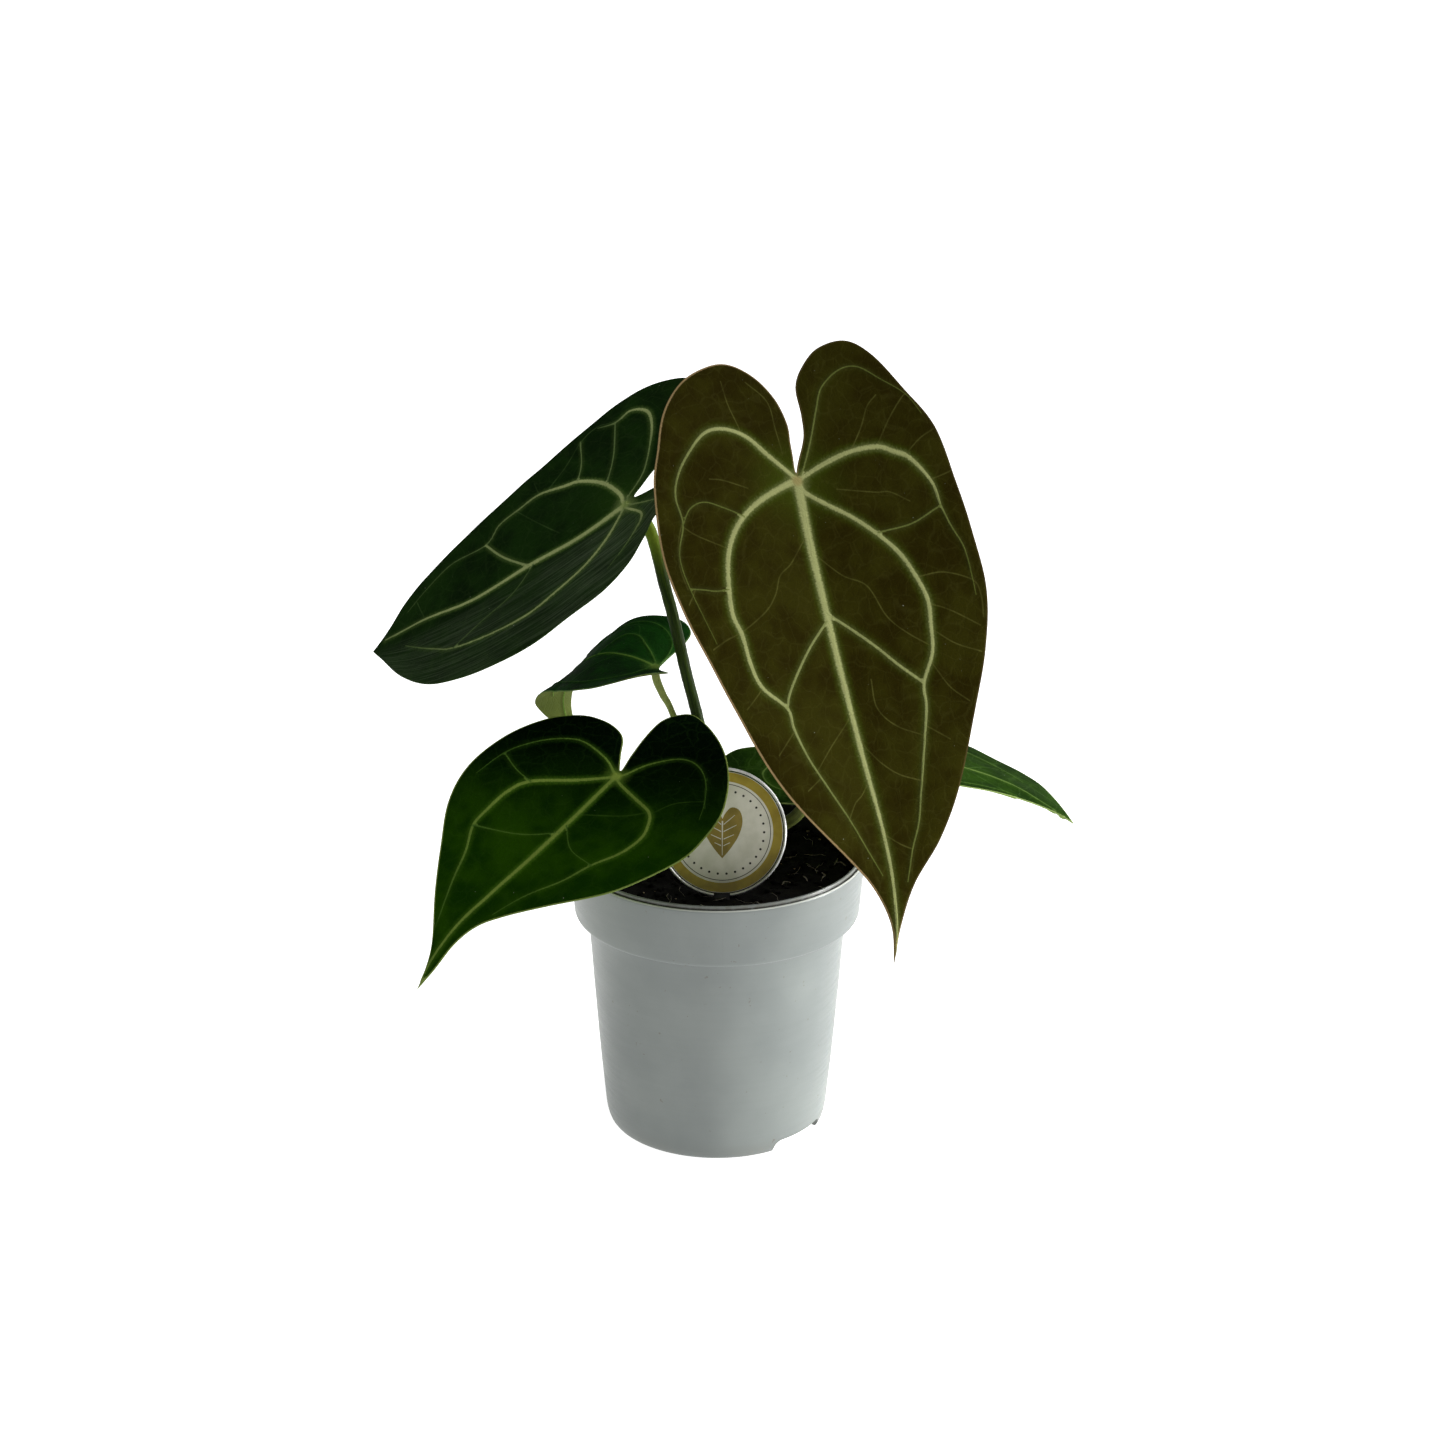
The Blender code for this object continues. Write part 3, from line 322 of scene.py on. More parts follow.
        "midrib": [(0, 0), (25, 2), (50, 4), (70, 4), (84, 2), (96, 2)],
        "veins": [
            [(2, -4), (3, -14), (8, -24), (18, -31), (30, -31), (44, -25), (58, -17), (74, -8)],
            [(-3, -4), (-14, -11), (-25, -19), (-28, -28), (-20, -36), (-6, -39)],
            [(2, 4), (3, 14), (8, 24), (18, 30), (30, 29), (44, 24), (58, 18), (74, 11)],
            [(-3, 4), (-12, 12), (-20, 21), (-20, 30), (-10, 35), (2, 37)],
        ],
        "links": [[(30, 2), (36, -12), (44, -25)], [(30, 2), (37, 11), (44, 24)]],
        "thin": [
            [(50, 4), (58, 12), (66, 15)],
            [(50, 4), (60, -5), (70, -10)],
            [(18, 30), (20, 36), (28, 37)],
            [(18, -31), (20, -37), (28, -37)],
        ],
    },
}

PETIOLES = {
    "petiole_1": {
        "place": -30, "radius": 2.5,
        "path": [(16, -1.5, 123), (25, -7, 130.5), (34, -9.5, 140), (40, -6, 160), (39, 2, 195),
                 (33.5, 8, 235), (29, 7, 260)],
    },
    "petiole_2": {
        "place": 125, "radius": 2.4,
        "path": [(-3, 15, 142), (-8.4, 18.5, 168), (-12.6, 18.7, 185), (-15.9, 19.5, 200),
                 (-18.7, 21.5, 211.5), (-22.3, 25, 224), (-25.2, 28, 235.5), (-28, 30, 243.5),
                 (-33.3, 33.5, 248.5)],
    },
    "petiole_3": {
        "place": 185, "radius": 1.35,
        "path": [(-8, 12.5, 138), (-18, 18.5, 168), (-22.3, 19, 177), (-24.8, 19.4, 183)],
    },
    "petiole_4": {
        "place": 250, "radius": 2.2,
        "path": [(-6, -1, 128), (-20, -3.5, 140), (-33, -9, 146), (-38.6, -13.5, 149.5)],
    },
    "petiole_5": {
        "place": 40, "radius": 2.2,
        "path": [(17, 15, 127), (31, 27, 137.5), (43, 37, 140), (50, 41, 140.5)],
    },
}

# What most leaves do without: painted sheen in pale streaks, painted shade that darkens to near
# black from one place along the blade to another with its slant, a green middle and a margin that
# fades to one side
PLAIN_LOOK = {"sheen_streaks": 0.0, "painted_shade": None, "green": 0.0, "margin_side": 0.0}
# Each leaf's looks: half widths along WIDTH_PLACES of its midrib and of each vein and link in its
# table, in millimetres, and its colours
LOOKS = {
    "leaf_1": {
        "slot": "young_leaf", "midrib": (2.1, 1.8, 1.35, 0.8, 0.5),
        "veins": [(1.0, 1.0, 0.52, 0.32, 0.2), (1.4, 1.05, 1.0, 0.46, 0.24),
                  (0.36, 0.38, 0.34, 0.28, 0.2), (0.9, 1.0, 1.1, 0.36, 0.22),
                  (0.95, 0.9, 0.9, 0.5, 0.26)],
        "links": [0.52, 0.3, 0.3, 0.34, 0.6],
        "dark": (33, 28, 2), "light": (43, 41, 6), "halo": (52, 64, 10), "core": (148, 152, 100),
        "faint": (88, 98, 42), "thin": (84, 84, 40), "margin": (142, 120, 84),
        "under": (112, 92, 56), "spot": (132, 96, 52), "margin_width": 0.6, "halo_reach": 4.4,
        "net": 0.05, "green": 0.75, "margin_side": 1.0, "gloss": 0.01, "spot_share": 0.4,
    },
    "leaf_2": {
        "slot": "dark_leaf", "midrib": (1.4, 1.15, 0.95, 0.7, 0.45),
        "veins": [(0.9, 1.0, 0.5, 0.3, 0.2), (0.36, 0.36, 0.4, 0.75, 0.24),
                  (0.5, 0.64, 0.64, 0.5, 0.24), (0.5, 0.7, 0.48, 0.3, 0.18),
                  (0.44, 0.44, 0.38, 0.3, 0.2)],
        "links": [0.55, 0.34, 0.26, 0.36],
        "dark": (8, 26, 3), "light": (17, 40, 6), "halo": (44, 74, 14), "core": (148, 160, 104),
        "faint": (78, 100, 56), "thin": (60, 82, 42), "margin": (40, 60, 24),
        "under": (96, 120, 62), "spot": (110, 130, 60), "margin_width": 0.35, "halo_reach": 2.6,
        "net": 0.05, "sheen_streaks": 0.5, "green": 0.3, "gloss": 0.02, "spot_share": 0.5,
    },
    "leaf_3": {
        "slot": "green_leaf", "midrib": (0.7, 0.6, 0.5, 0.4, 0.3),
        "veins": [(0.3, 0.4, 0.4, 0.3, 0.2), (0.3, 0.32, 0.3, 0.25, 0.15),
                  (0.3, 0.32, 0.3, 0.25, 0.15)],
        "links": [],
        "dark": (4, 32, 3), "light": (14, 54, 8), "halo": (28, 72, 16), "core": (100, 130, 56),
        "faint": (48, 84, 32), "thin": (40, 76, 28), "margin": (84, 110, 60),
        "under": (80, 90, 42), "spot": (110, 130, 60), "margin_width": 0.35, "halo_reach": 2.0,
        "net": 0.06, "painted_shade": (12.0, -2.0, 0.0), "green": 0.2, "gloss": 0.03, "spot_share": 0.5,
    },
    "leaf_4": {
        "slot": "green_leaf", "midrib": (0.8, 0.95, 0.95, 0.7, 0.5),
        "veins": [(0.65, 0.5, 0.36, 0.28, 0.16), (0.65, 0.75, 0.75, 0.5, 0.24),
                  (0.65, 0.5, 0.36, 0.26, 0.16), (0.65, 0.7, 0.7, 0.42, 0.22)],
        "links": [0.3, 0.3, 0.26],
        "dark": (14, 44, 0), "light": (30, 62, 0), "halo": (44, 84, 6), "core": (114, 136, 58),
        "faint": (68, 100, 38), "thin": (58, 88, 32), "margin": (120, 138, 70),
        "under": (110, 130, 66), "spot": (136, 156, 66), "margin_width": 0.45, "halo_reach": 2.6,
        "net": 0.04, "painted_shade": (66.0, -8.0, 0.65), "gloss": 0.01, "spot_share": 0.6,
    },
    "leaf_5": {
        "slot": "green_leaf", "midrib": (0.9, 0.8, 0.6, 0.45, 0.3),
        "veins": [(0.4, 0.5, 0.5, 0.35, 0.2)] * 4, "links": [0.3, 0.3],
        "dark": (18, 42, 2), "light": (38, 67, 9), "halo": (60, 92, 28), "core": (130, 156, 80),
        "faint": (80, 112, 50), "thin": (76, 108, 48), "margin": (140, 160, 96),
        "under": (110, 130, 66), "spot": (136, 156, 66), "margin_width": 0.4, "halo_reach": 2.6,
        "net": 0.1, "sheen_streaks": 0.3, "gloss": 0.02, "spot_share": 0.6,
    },
}

PETIOLE_SIDES = 20
PETIOLE_SPACING = 1.5
STRAIGHT_FOOT = 9.0
FOOT_LENGTH = 36.0
GENICULUM_LENGTH = 11.0
GENICULUM_SWELL = 0.28
GENICULUM_FULL = 0.5
FOOT_SWELL = 0.12
PETIOLE_INSET = 0.25

# Camera, matched to the photograph
PHOTO_SIZE = (1445, 1449)
FOCAL_PIXELS = 3470.0
SENSOR = 36.0
CAMERA_PLACE = (0.0018, -1.290, 0.672)
CAMERA_TILT = math.radians(68.8)
CAMERA_ROLL = math.radians(0.34)


# ---- shapes -----------------------------------------------------------------------------------

def smooth_curve(points, spacing):
    """Evenly spaced points along a smooth curve through all the given ones, both ends kept."""
    given = np.array(points, float)
    padded = np.vstack([2 * given[0] - given[1], given, 2 * given[-1] - given[-2]])
    share = np.linspace(0, 1, 10, endpoint=False)[:, None]
    pieces = []
    for before, start, end, after in zip(padded, padded[1:], padded[2:], padded[3:]):
        pieces.append(0.5 * (2 * start + (end - before) * share
                             + (2 * before - 5 * start + 4 * end - after) * share**2
                             + (3 * start - before - 3 * end + after) * share**3))
    curve = np.vstack(pieces + [given[-1:]])
    lengths = np.append(0, np.cumsum(np.linalg.norm(np.diff(curve, axis=0), axis=1)))
    count = max(1, round(lengths[-1] / spacing))
    places = np.linspace(0, lengths[-1], count + 1)
    return np.stack([np.interp(places, lengths, column) for column in curve.T], axis=1)


def rate(values, share):
    """A rate that changes evenly through its values from the junction to the tip."""
    return np.interp(share, np.linspace(0, 1, len(values)), values)


def start_frame(leaf):
    """The blade's forward, left and up vectors at its junction."""
    heading, dip, roll = (math.radians(leaf[key]) for key in ("heading", "dip", "roll"))
    level = np.array([-math.sin(heading), math.cos(heading), 0.0])
    forward = np.array([math.cos(heading) * math.cos(dip), math.sin(heading) * math.cos(dip),
                        -math.sin(dip)])
    above = np.cross(forward, level)
    left = level * math.cos(roll) + above * math.sin(roll)
    return forward, left, np.cross(forward, left)


def walk(leaf, stride, reach):
    """Frames along the midrib from the junction: distance, point, forward, left and up."""
    rows = [(0.0, np.array(leaf["junction"], float), *start_frame(leaf))]
    turn = math.radians(stride / 100)
    while abs(rows[-1][0]) < reach:
        distance, point, forward, left, up = rows[-1]
        share = (distance + stride / 2) / leaf["length"]
        droop = turn * (rate(leaf["droop"], share) if stride > 0 else leaf["lobe"])
        sweep = turn * (rate(leaf["sweep"], share) if stride > 0 else 0.0)
        twist = turn * rate(leaf["twist"], share)
        ahead = forward - droop * up + sweep * left
        ahead /= np.linalg.norm(ahead)
        side = left - sweep * forward + twist * (up + droop * forward)
        side -= ahead * (side @ ahead)
        side /= np.linalg.norm(side)
        point = point + stride * (forward + ahead) / 2
        rows.append((distance + stride, point, ahead, side, np.cross(ahead, side)))
    return rows


def midrib_frames(leaf):
    """Distances from the lobes to the tip, with the point, left and up vectors at each."""
    rows = walk(leaf, -STRIDE, LONGEST_LOBE)[:0:-1] + walk(leaf, STRIDE, 1.05 * leaf["length"])
    return [np.array([row[column] for row in rows]) for column in (0, 1, 3, 4)]


def blade_surface(leaf, frames, flat):
    """Points of the bent blade's middle surface at flat places, in millimetres."""
    along, across = flat.T
    distances = frames[0]
    spine, left, up = (
        np.stack([np.interp(along, distances, column) for column in vectors.T], axis=1)
        for vectors in frames[1:]
    )
    fold = np.radians(rate(leaf["fold"], along / leaf["length"]))
    raised = np.sin(fold) * (np.hypot(across, SOFT_FOLD) - SOFT_FOLD)
    return spine + (across * np.cos(fold))[:, None] * left + raised[:, None] * up


def surface_normals(leaf, frames, flat):
    """The blade's upward normals at flat places."""
    small = 0.5
    along = np.array([small, 0.0])
    across = np.array([0.0, small])
    forward = blade_surface(leaf, frames, flat + along) - blade_surface(leaf, frames, flat - along)
    left = blade_surface(leaf, frames, flat + across) - blade_surface(leaf, frames, flat - across)
    normals = np.cross(forward, left)
    return normals / np.linalg.norm(normals, axis=1)[:, None]


def inside(outline, flat):
    """Which flat places lie inside a closed outline."""
    x, y = flat.T[:, :, None]
    x1, y1 = outline.T[:, None]
    x2, y2 = np.roll(outline, -1, axis=0).T[:, None]
    spans = (y1 > y) != (y2 > y)
    rise = np.where(y1 == y2, 1.0, y2 - y1)
    return (spans & (x < x1 + (y - y1) * (x2 - x1) / rise)).sum(axis=1) % 2 == 1


def line_distance(line, flat, reach=9.0):
    """How far each flat place is from a line, and how far along the line its nearest point is,
    from 0 to 1. Places more than the reach outside the line's own box get FAR."""
    away = np.full(len(flat), FAR)
    along = np.zeros(len(flat))
    low, high = line.min(axis=0) - reach, line.max(axis=0) + reach
    near = np.flatnonzero(((flat > low) & (flat < high)).all(axis=1))
    start, step = line[:-1], np.diff(line, axis=0)
    for part in np.array_split(near, len(near) // 4000 + 1):
        if not len(part):
            continue
        gap = flat[part][:, None] - start[None]
        share = np.clip((gap * step).sum(axis=2) / (step**2).sum(axis=1), 0, 1)
        distance = np.linalg.norm(gap - share[..., None] * step, axis=2)
        best = distance.argmin(axis=1)
        rows = np.arange(len(part))
        away[part] = distance[rows, best]
        along[part] = (best + share[rows, best]) / len(step)
    return away, along


def perlin(places, size, seed=0.0):
    """Smooth noise from about -1 to 1 at each place, with bumps about one size apart."""
    offset = Vector((seed * 17.3, seed * 5.1, seed * 9.7))
    padded = np.zeros((len(places), 3))
    padded[:, :places.shape[1]] = places / size
    return np.array([noise.noise(Vector(place) + offset) for place in padded])


class Pattern:
    """The points and lines of a blade laid flat, its points kept apart."""

    def __init__(self, outline):
        self.points = [np.array(point) for point in outline]
        self.ring = list(range(len(outline)))
        self.edges = list(zip(self.ring, self.ring[1:] + self.ring[:1]))

    def add_line(self, line):
        """A line whose points join those already there where they nearly meet."""
        numbers = []
        for place in line:
            gaps = np.linalg.norm(np.array(self.points) - place, axis=1)
            if gaps.min() < LINE_MERGE:
                numbers.append(int(gaps.argmin()))
            else:
                numbers.append(len(self.points))
                self.points.append(place)
        self.edges += [pair for pair in zip(numbers, numbers[1:]) if pair[0] != pair[1]]

    def add_grid(self, outline):
        """A grid of points that stay clear of the lines and the edge."""
        tree = KDTree(len(self.points))
        for number, point in enumerate(self.points):
            tree.insert((*point, 0), number)
        tree.balance()
        low, high = outline.min(axis=0), outline.max(axis=0)
        row_step = GRID_STEP * math.sqrt(3) / 2
        grid = np.array([(x + GRID_STEP / 2 * (row % 2), y)
                         for row, y in enumerate(np.arange(low[1], high[1], row_step))
                         for x in np.arange(low[0], high[0], GRID_STEP)])
        for part in np.array_split(grid, len(grid) // 4000 + 1):
            for place in part[inside(outline, part)]:
                if tree.find((*place, 0))[2] >= GRID_CLEARANCE:
                    self.points.append(place)

    def triangles(self):
        """The flat points and triangles inside the outline."""
        result = delaunay_2d_cdt([Vector(point) for point in self.points], self.edges,
                                 [self.ring], 1, 1e-5)
        return np.array([tuple(point) for point in result[0]]), result[2]


def run_on(vein, places):
    """A thin vein, each end of it run on to the nearest of some places if that is near."""
    ends = []
    for end, before in ((vein[0], vein[1]), (vein[-1], vein[-2])):
        gaps = np.linalg.norm(places - end, axis=1)
        nearest = places[gaps.argmin()]
        onward = (nearest - end) @ np.subtract(end, before) > 0
        joins = onward and LINE_MERGE < gaps.min() < THIN_REACH
        ends.append([tuple(nearest)] if joins else [])
    return [*ends[0], *vein, *ends[1]]


def blade_lines(leaf, look):
    """Each vein's points and half widths, grouped by kind."""
    main = [(leaf["midrib"], look["midrib"])]
    main += [([(0, 0), *vein], halves) for vein, halves in zip(leaf["veins"], look["veins"])]
    main += [(link, [half] * len(WIDTH_PLACES))
             for link, half in zip(leaf["links"], look["links"])]
    places = np.vstack([smooth_curve(points, LINE_STEP) for points, _ in main])
    thin = [(run_on(vein, places), [THIN_HALF] * len(WIDTH_PLACES)) for vein in leaf["thin"]]
    return {"main": main, "thin": thin}


def blade_fields(leaf, look, flat, outline):
    """What the shader reads at each flat place: main and thin, the distances from a vein's
    middle as shares of its half width, near and edge, millimetres from a vein and the edge,
    strong, how strong the nearest main vein is, from 0 to 1, vein, how far the place is along
    and across it, and flow, a map whose lines all run from the junction to the tip."""
    fields = {"near": np.full(len(flat), FAR), "strong": np.zeros(len(flat)),
              "vein": np.zeros((len(flat), 3)), "flow": flow_map(leaf, flat, outline)}
    for kind, lines in blade_lines(leaf, look).items():
        share = np.full(len(flat), FAR)
        for number, (points, halves) in enumerate(lines):
            line = smooth_curve(points, LINE_STEP)
            away, along = line_distance(line, flat)
            half = np.interp(along, WIDTH_PLACES, halves)
            if kind == "main":
                nearest = away - half < fields["near"]
                strong = np.interp(half, (FAINT_HALF, STRONG_HALF), (0, 1))
                fields["strong"] = np.where(nearest, strong, fields["strong"])
                place = np.column_stack([along * len(line), away, np.full(len(flat), 9 * number)])
                fields["vein"] = np.where(nearest[:, None], place, fields["vein"])
                fields["near"] = np.where(nearest, np.maximum(away - half, 0), fields["near"])
            share = np.minimum(share, away / half)
        fields[kind] = share
    closed = np.vstack([outline, outline[:1]])
    fields["edge"] = line_distance(closed, flat)[0]
    return fields


def flow_map(leaf, flat, outline):
    """Along the midrib, and across as a share of the blade's width there, in tens of
    millimetres."""
    reach = leaf["length"]
    spots = np.linspace(-0.3 * reach, reach, 40)
    shares = np.empty(len(flat))
    for side in (1, -1):
        own = outline[outline[:, 1] * side > 0]
        wide = [np.max(np.abs(own[np.abs(own[:, 0] - spot) < 0.08 * reach, 1]), initial=4.0)
                for spot in spots]
        here = flat[:, 1] * side > 0
        shares[here] = flat[here, 1] / np.interp(flat[here, 0], spots, wide)
    return np.column_stack([flat[:, 0], 40 * shares, np.zeros(len(flat))])


def add_mesh(name, points, faces, finishes, attributes=None, chosen=None, sharp_degrees=40):
    """A smooth-shaded piece from points in metres and faces looking outwards.
    Its attributes are read by its material's nodes, and chosen is each face's material."""
    mesh = bpy.data.meshes.new(name)
    mesh.from_pydata([tuple(point) for point in points], [], faces)
    for finish in finishes:
        mesh.materials.append(finish)
    if chosen is not None:
        mesh.polygons.foreach_set("material_index", chosen)
    mesh.shade_smooth()
    mesh.set_sharp_from_angle(angle=math.radians(sharp_degrees))
    for key, values in (attributes or {}).items():
        values = np.asarray(values, np.float32)
        kind, field = ("FLOAT_VECTOR", "vector") if values.ndim == 2 else ("FLOAT", "value")
        mesh.attributes.new(key, kind, "POINT").data.foreach_set(field, values.ravel())
    made = bpy.data.objects.new(name, mesh)
    bpy.context.scene.collection.objects.link(made)
    return made


def hand_in(piece, slot, *nodes):
    """The piece rides on the root body and stands for the nodes, which are hidden. The slot is not
    used.
    """
    if nodes:
        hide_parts(*nodes)
    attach(piece, "root")


def add_blade(name, leaf, look, finish):
    """A blade: fine triangles on both faces, raised veins, soft quilting and a wavy edge."""
    ring = leaf["outline"] + leaf["outline"][:1]
    outline = smooth_curve(ring, EDGE_STEP)[:-1]
    pattern = Pattern(outline)
    for lines in blade_lines(leaf, look).values():
        for points, _ in lines:
            line = smooth_curve(points, LINE_STEP)
            clear = inside(outline, line)
            closed = np.vstack([outline, outline[:1]])
            clear &= line_distance(closed, line)[0] > GRID_CLEARANCE
            pattern.add_line(line[clear])
    pattern.add_grid(outline)
    flat, triangles = pattern.triangles()
    fields = blade_fields(leaf, look, flat, outline)

    frames = midrib_frames(leaf)
    middle = blade_surface(leaf, frames, flat)
    normals = surface_normals(leaf, frames, flat)
    lift = PUFF * (1 - np.exp(-fields["near"] / PUFF_REACH)) * np.minimum(1, fields["edge"] / 4)
    lift += WAVE * perlin(flat, WAVE_LENGTH, 3) * np.exp(-fields["edge"] / WAVE_REACH)
    middle = middle + normals * lift[:, None]
    ridge = np.maximum(0, 1 - (fields["main"] / RIDGE_WIDENING)**2)
    ridge = np.maximum(ridge, 0.25 * np.maximum(0, 1 - (fields["thin"] / 2)**2))
    half = BLADE_THICKNESS / 2 * (EDGE_SHARE + (1 - EDGE_SHARE)
                                  * np.minimum(1, fields["edge"] / EDGE_REACH))
    above = middle + normals * (half + RIDGE_ABOVE * ridge)[:, None]
    below = middle - normals * (half + RIDGE_BELOW * ridge)[:, None]

    count = len(flat)
    faces = [tuple(triangle) for triangle in triangles]
    faces += [tuple(count + corner for corner in triangle[::-1]) for triangle in triangles]
    sides = {(a, b) for triangle in triangles
             for a, b in zip(triangle, (*triangle[1:], triangle[0]))}
    rim = [(a, b) for a, b in sides if (b, a) not in sides]
    after = dict(rim)
    before = {b: a for a, b in rim}
    corners = sorted(after)
    number = {corner: 2 * count + order for order, corner in enumerate(corners)}
    ahead = (flat[[after[corner] for corner in corners]]
             - flat[[before[corner] for corner in corners]])
    out = ahead[:, ::-1] * (1, -1) / np.linalg.norm(ahead, axis=1)[:, None]
    pushed = flat[corners] + out * EDGE_PUSH
    middle_rim = (blade_surface(leaf, frames, pushed) + normals[corners] * lift[corners][:, None])
    for a, b in sorted(rim):
        faces.append((b, a, number[a], number[b]))
        faces.append((number[b], number[a], count + a, count + b))

    doubled = {key: np.concatenate([values, values, values[corners]])
               for key, values in fields.items()}
    doubled["edge"][2 * count:] = 0
    doubled["side"] = np.concatenate([np.ones(count), -np.ones(count), np.zeros(len(corners))])
    places = np.vstack([flat, flat, pushed])
    doubled["flat"] = np.column_stack([places, np.zeros(len(places))])
    points = np.vstack([above, below, middle_rim]) * MM
    piece = add_mesh(name + "_blade", points, faces, [finish], doubled)
    lay_out(piece, flat, count)
    hand_in(piece, look["slot"], name)
    return piece


def lay_out(piece, flat, count):
    """A UV map named OFBake: the upper face at the left, the lower one at the right."""
    low, high = flat.min(axis=0), flat.max(axis=0)
    scale = min(0.48 / (high[1] - low[1]), 0.98 / (high[0] - low[0]))
    table = np.zeros((len(piece.data.vertices), 2))
    table[:count] = (flat[:, ::-1] - low[::-1]) * scale + (0.01, 0.01)
    table[count:2 * count] = table[:count] + (0.5, 0)
    attribute = piece.data.attributes["flat"]
    places = np.empty(3 * len(table), np.float32)
    attribute.data.foreach_get("vector", places)
    places = places.reshape(-1, 3)[2 * count:, 1::-1]
    table[2 * count:] = (places - low[::-1]) * scale + (0.01, 0.01)
    corners = np.empty(len(piece.data.loops), np.int32)
    piece.data.loops.foreach_get("vertex_index", corners)
    layer = piece.data.uv_layers.new(name="OFBake")
    values = table[corners]
    starts = np.empty(len(piece.data.polygons), np.int32)
    totals = np.empty(len(piece.data.polygons), np.int32)
    piece.data.polygons.foreach_get("loop_start", starts)
    piece.data.polygons.foreach_get("loop_total", totals)
    for start, total in zip(starts[totals == 4], totals[totals == 4]):
        rows = slice(start, start + total)
        right = corners[rows]
        if ((right >= count) & (right < 2 * count)).any():
            values[rows][right >= 2 * count] += (0.5, 0)
    layer.uv.foreach_set("vector", values.astype(np.float32).ravel())


def wall(low, high):
    """The faces between two rings of point numbers."""
    return list(zip(low, low[1:] + low[:1], high[1:] + high[:1], high))


def tube(line, radii, sides, ahead_end=None):
    """Points, faces and places (round, along, 0) of a tube along a line, in the line's units."""
    ahead = np.gradient(line, axis=0)
    if ahead_end is not None:
        ahead[-1] = ahead_end
    ahead /= np.linalg.norm(ahead, axis=1)[:, None]
    side = np.cross(ahead[0], (0.0, 1.0, 0.0) if abs(ahead[0][1]) < 0.9 else (1.0, 0.0, 0.0))
    lengths = np.append(0, np.cumsum(np.linalg.norm(np.diff(line, axis=0), axis=1)))
    points, places = [], []
    for centre, forward, radius, along in zip(line, ahead, radii, lengths):
        side = side - forward * (side @ forward)
        side /= np.linalg.norm(side)
        other = np.cross(forward, side)
        for step in range(sides):
            turn = math.tau * step / sides
            points.append(centre + radius * (math.cos(turn) * side + math.sin(turn) * other))
            places.append((math.cos(turn) * radius, math.sin(turn) * radius, along))
    rings = np.arange(len(points)).reshape(-1, sides).tolist()
    faces = [tuple(rings[0][::-1])]
    for low, high in zip(rings, rings[1:]):
        faces += wall(low, high)
    faces.append(tuple(rings[-1]))
    return np.array(points), faces, np.array(places)


def socket_place(petiole):
    """The lowest point of a petiole, in its socket, in millimetres."""
    turn = math.radians(petiole["place"])
    return np.array([STEM_CENTRE[0] + SOCKET_RING_RADIUS * math.cos(turn),
                     STEM_CENTRE[1] + SOCKET_RING_RADIUS * math.sin(turn), SOCKET_BOTTOM]) / MM


def add_petiole(name, petiole, leaf, finish):
    """A round petiole from its socket into the blade's underside, thicker at both ends."""
    foot = socket_place(petiole)
    lean = np.array(petiole["path"][0], float) - foot
    lean /= np.linalg.norm(lean)
    end = np.array(leaf["junction"]) - start_frame(leaf)[2] * (BLADE_THICKNESS / 2 + PETIOLE_INSET)
    path = [foot, foot + STRAIGHT_FOOT * lean, *petiole["path"], end]
    line = smooth_curve(path, PETIOLE_SPACING)
    to_end = np.linalg.norm(line - end, axis=1)
    to_foot = np.linalg.norm(line - foot, axis=1)
    swell = GENICULUM_SWELL * np.clip(1 + GENICULUM_FULL - to_end / GENICULUM_LENGTH, 0, 1)
    swell += FOOT_SWELL * np.clip(1 - to_foot / FOOT_LENGTH, 0, 1)
    points, faces, places = tube(line, petiole["radius"] * (1 + swell), PETIOLE_SIDES,
                                 start_frame(leaf)[2])
    spread = perlin(places, 2.2, 5) * 0.06
    middle = np.repeat(line, PETIOLE_SIDES, axis=0)
    points = points + (points - middle) * spread[:, None]
    tip = np.repeat(to_end, PETIOLE_SIDES)
    foot_gap = np.repeat(to_foot, PETIOLE_SIDES)
    piece = add_mesh(name + "_stalk", points * MM, faces, [finish],
                     {"flat": places, "tip": tip, "foot": foot_gap}, sharp_degrees=60)
    hand_in(piece, "petiole_skin", name)


def turned(section, segments, centre=(0.0, 0.0)):
    """Points and faces of a body turned about +Z. The section runs from the axis at the bottom,
    out and up the outside, and back to the axis, as (radius, height)."""
    points = [(centre[0], centre[1], section[0][1])]
    for radius, height in section[1:-1]:
        for step in range(segments):
            turn = math.tau * step / segments
            points.append((centre[0] + radius * math.cos(turn),
                           centre[1] + radius * math.sin(turn), height))
    points.append((centre[0], centre[1], section[-1][1]))
    faces = []
    rings = len(section) - 2
    for step in range(segments):
        after = (step + 1) % segments
        faces.append((0, 1 + after, 1 + step))
        for ring in range(rings - 1):
            low = 1 + ring * segments
            high = low + segments
            faces.append((low + step, low + after, high + after, high + step))
        last = 1 + (rings - 1) * segments
        faces.append((last + step, last + after, len(points) - 1))
    return points, faces


def prism(outline, low, high):
    """A flat outline in X and Y, anticlockwise, raised along +Z between two heights."""
    points = [(x, y, level) for level in (low, high) for x, y in outline]
    bottom, top = np.arange(len(points)).reshape(2, -1).tolist()
    return points, [tuple(bottom[::-1]), tuple(top), *wall(bottom, top)]


def circle(radius, segments, centre=(0.0, 0.0)):
    """Points of a flat circle, anticlockwise."""
    turns = [math.tau * step / segments for step in range(segments)]
    return [(centre[0] + radius * math.cos(turn), centre[1] + radius * math.sin(turn))
            for turn in turns]


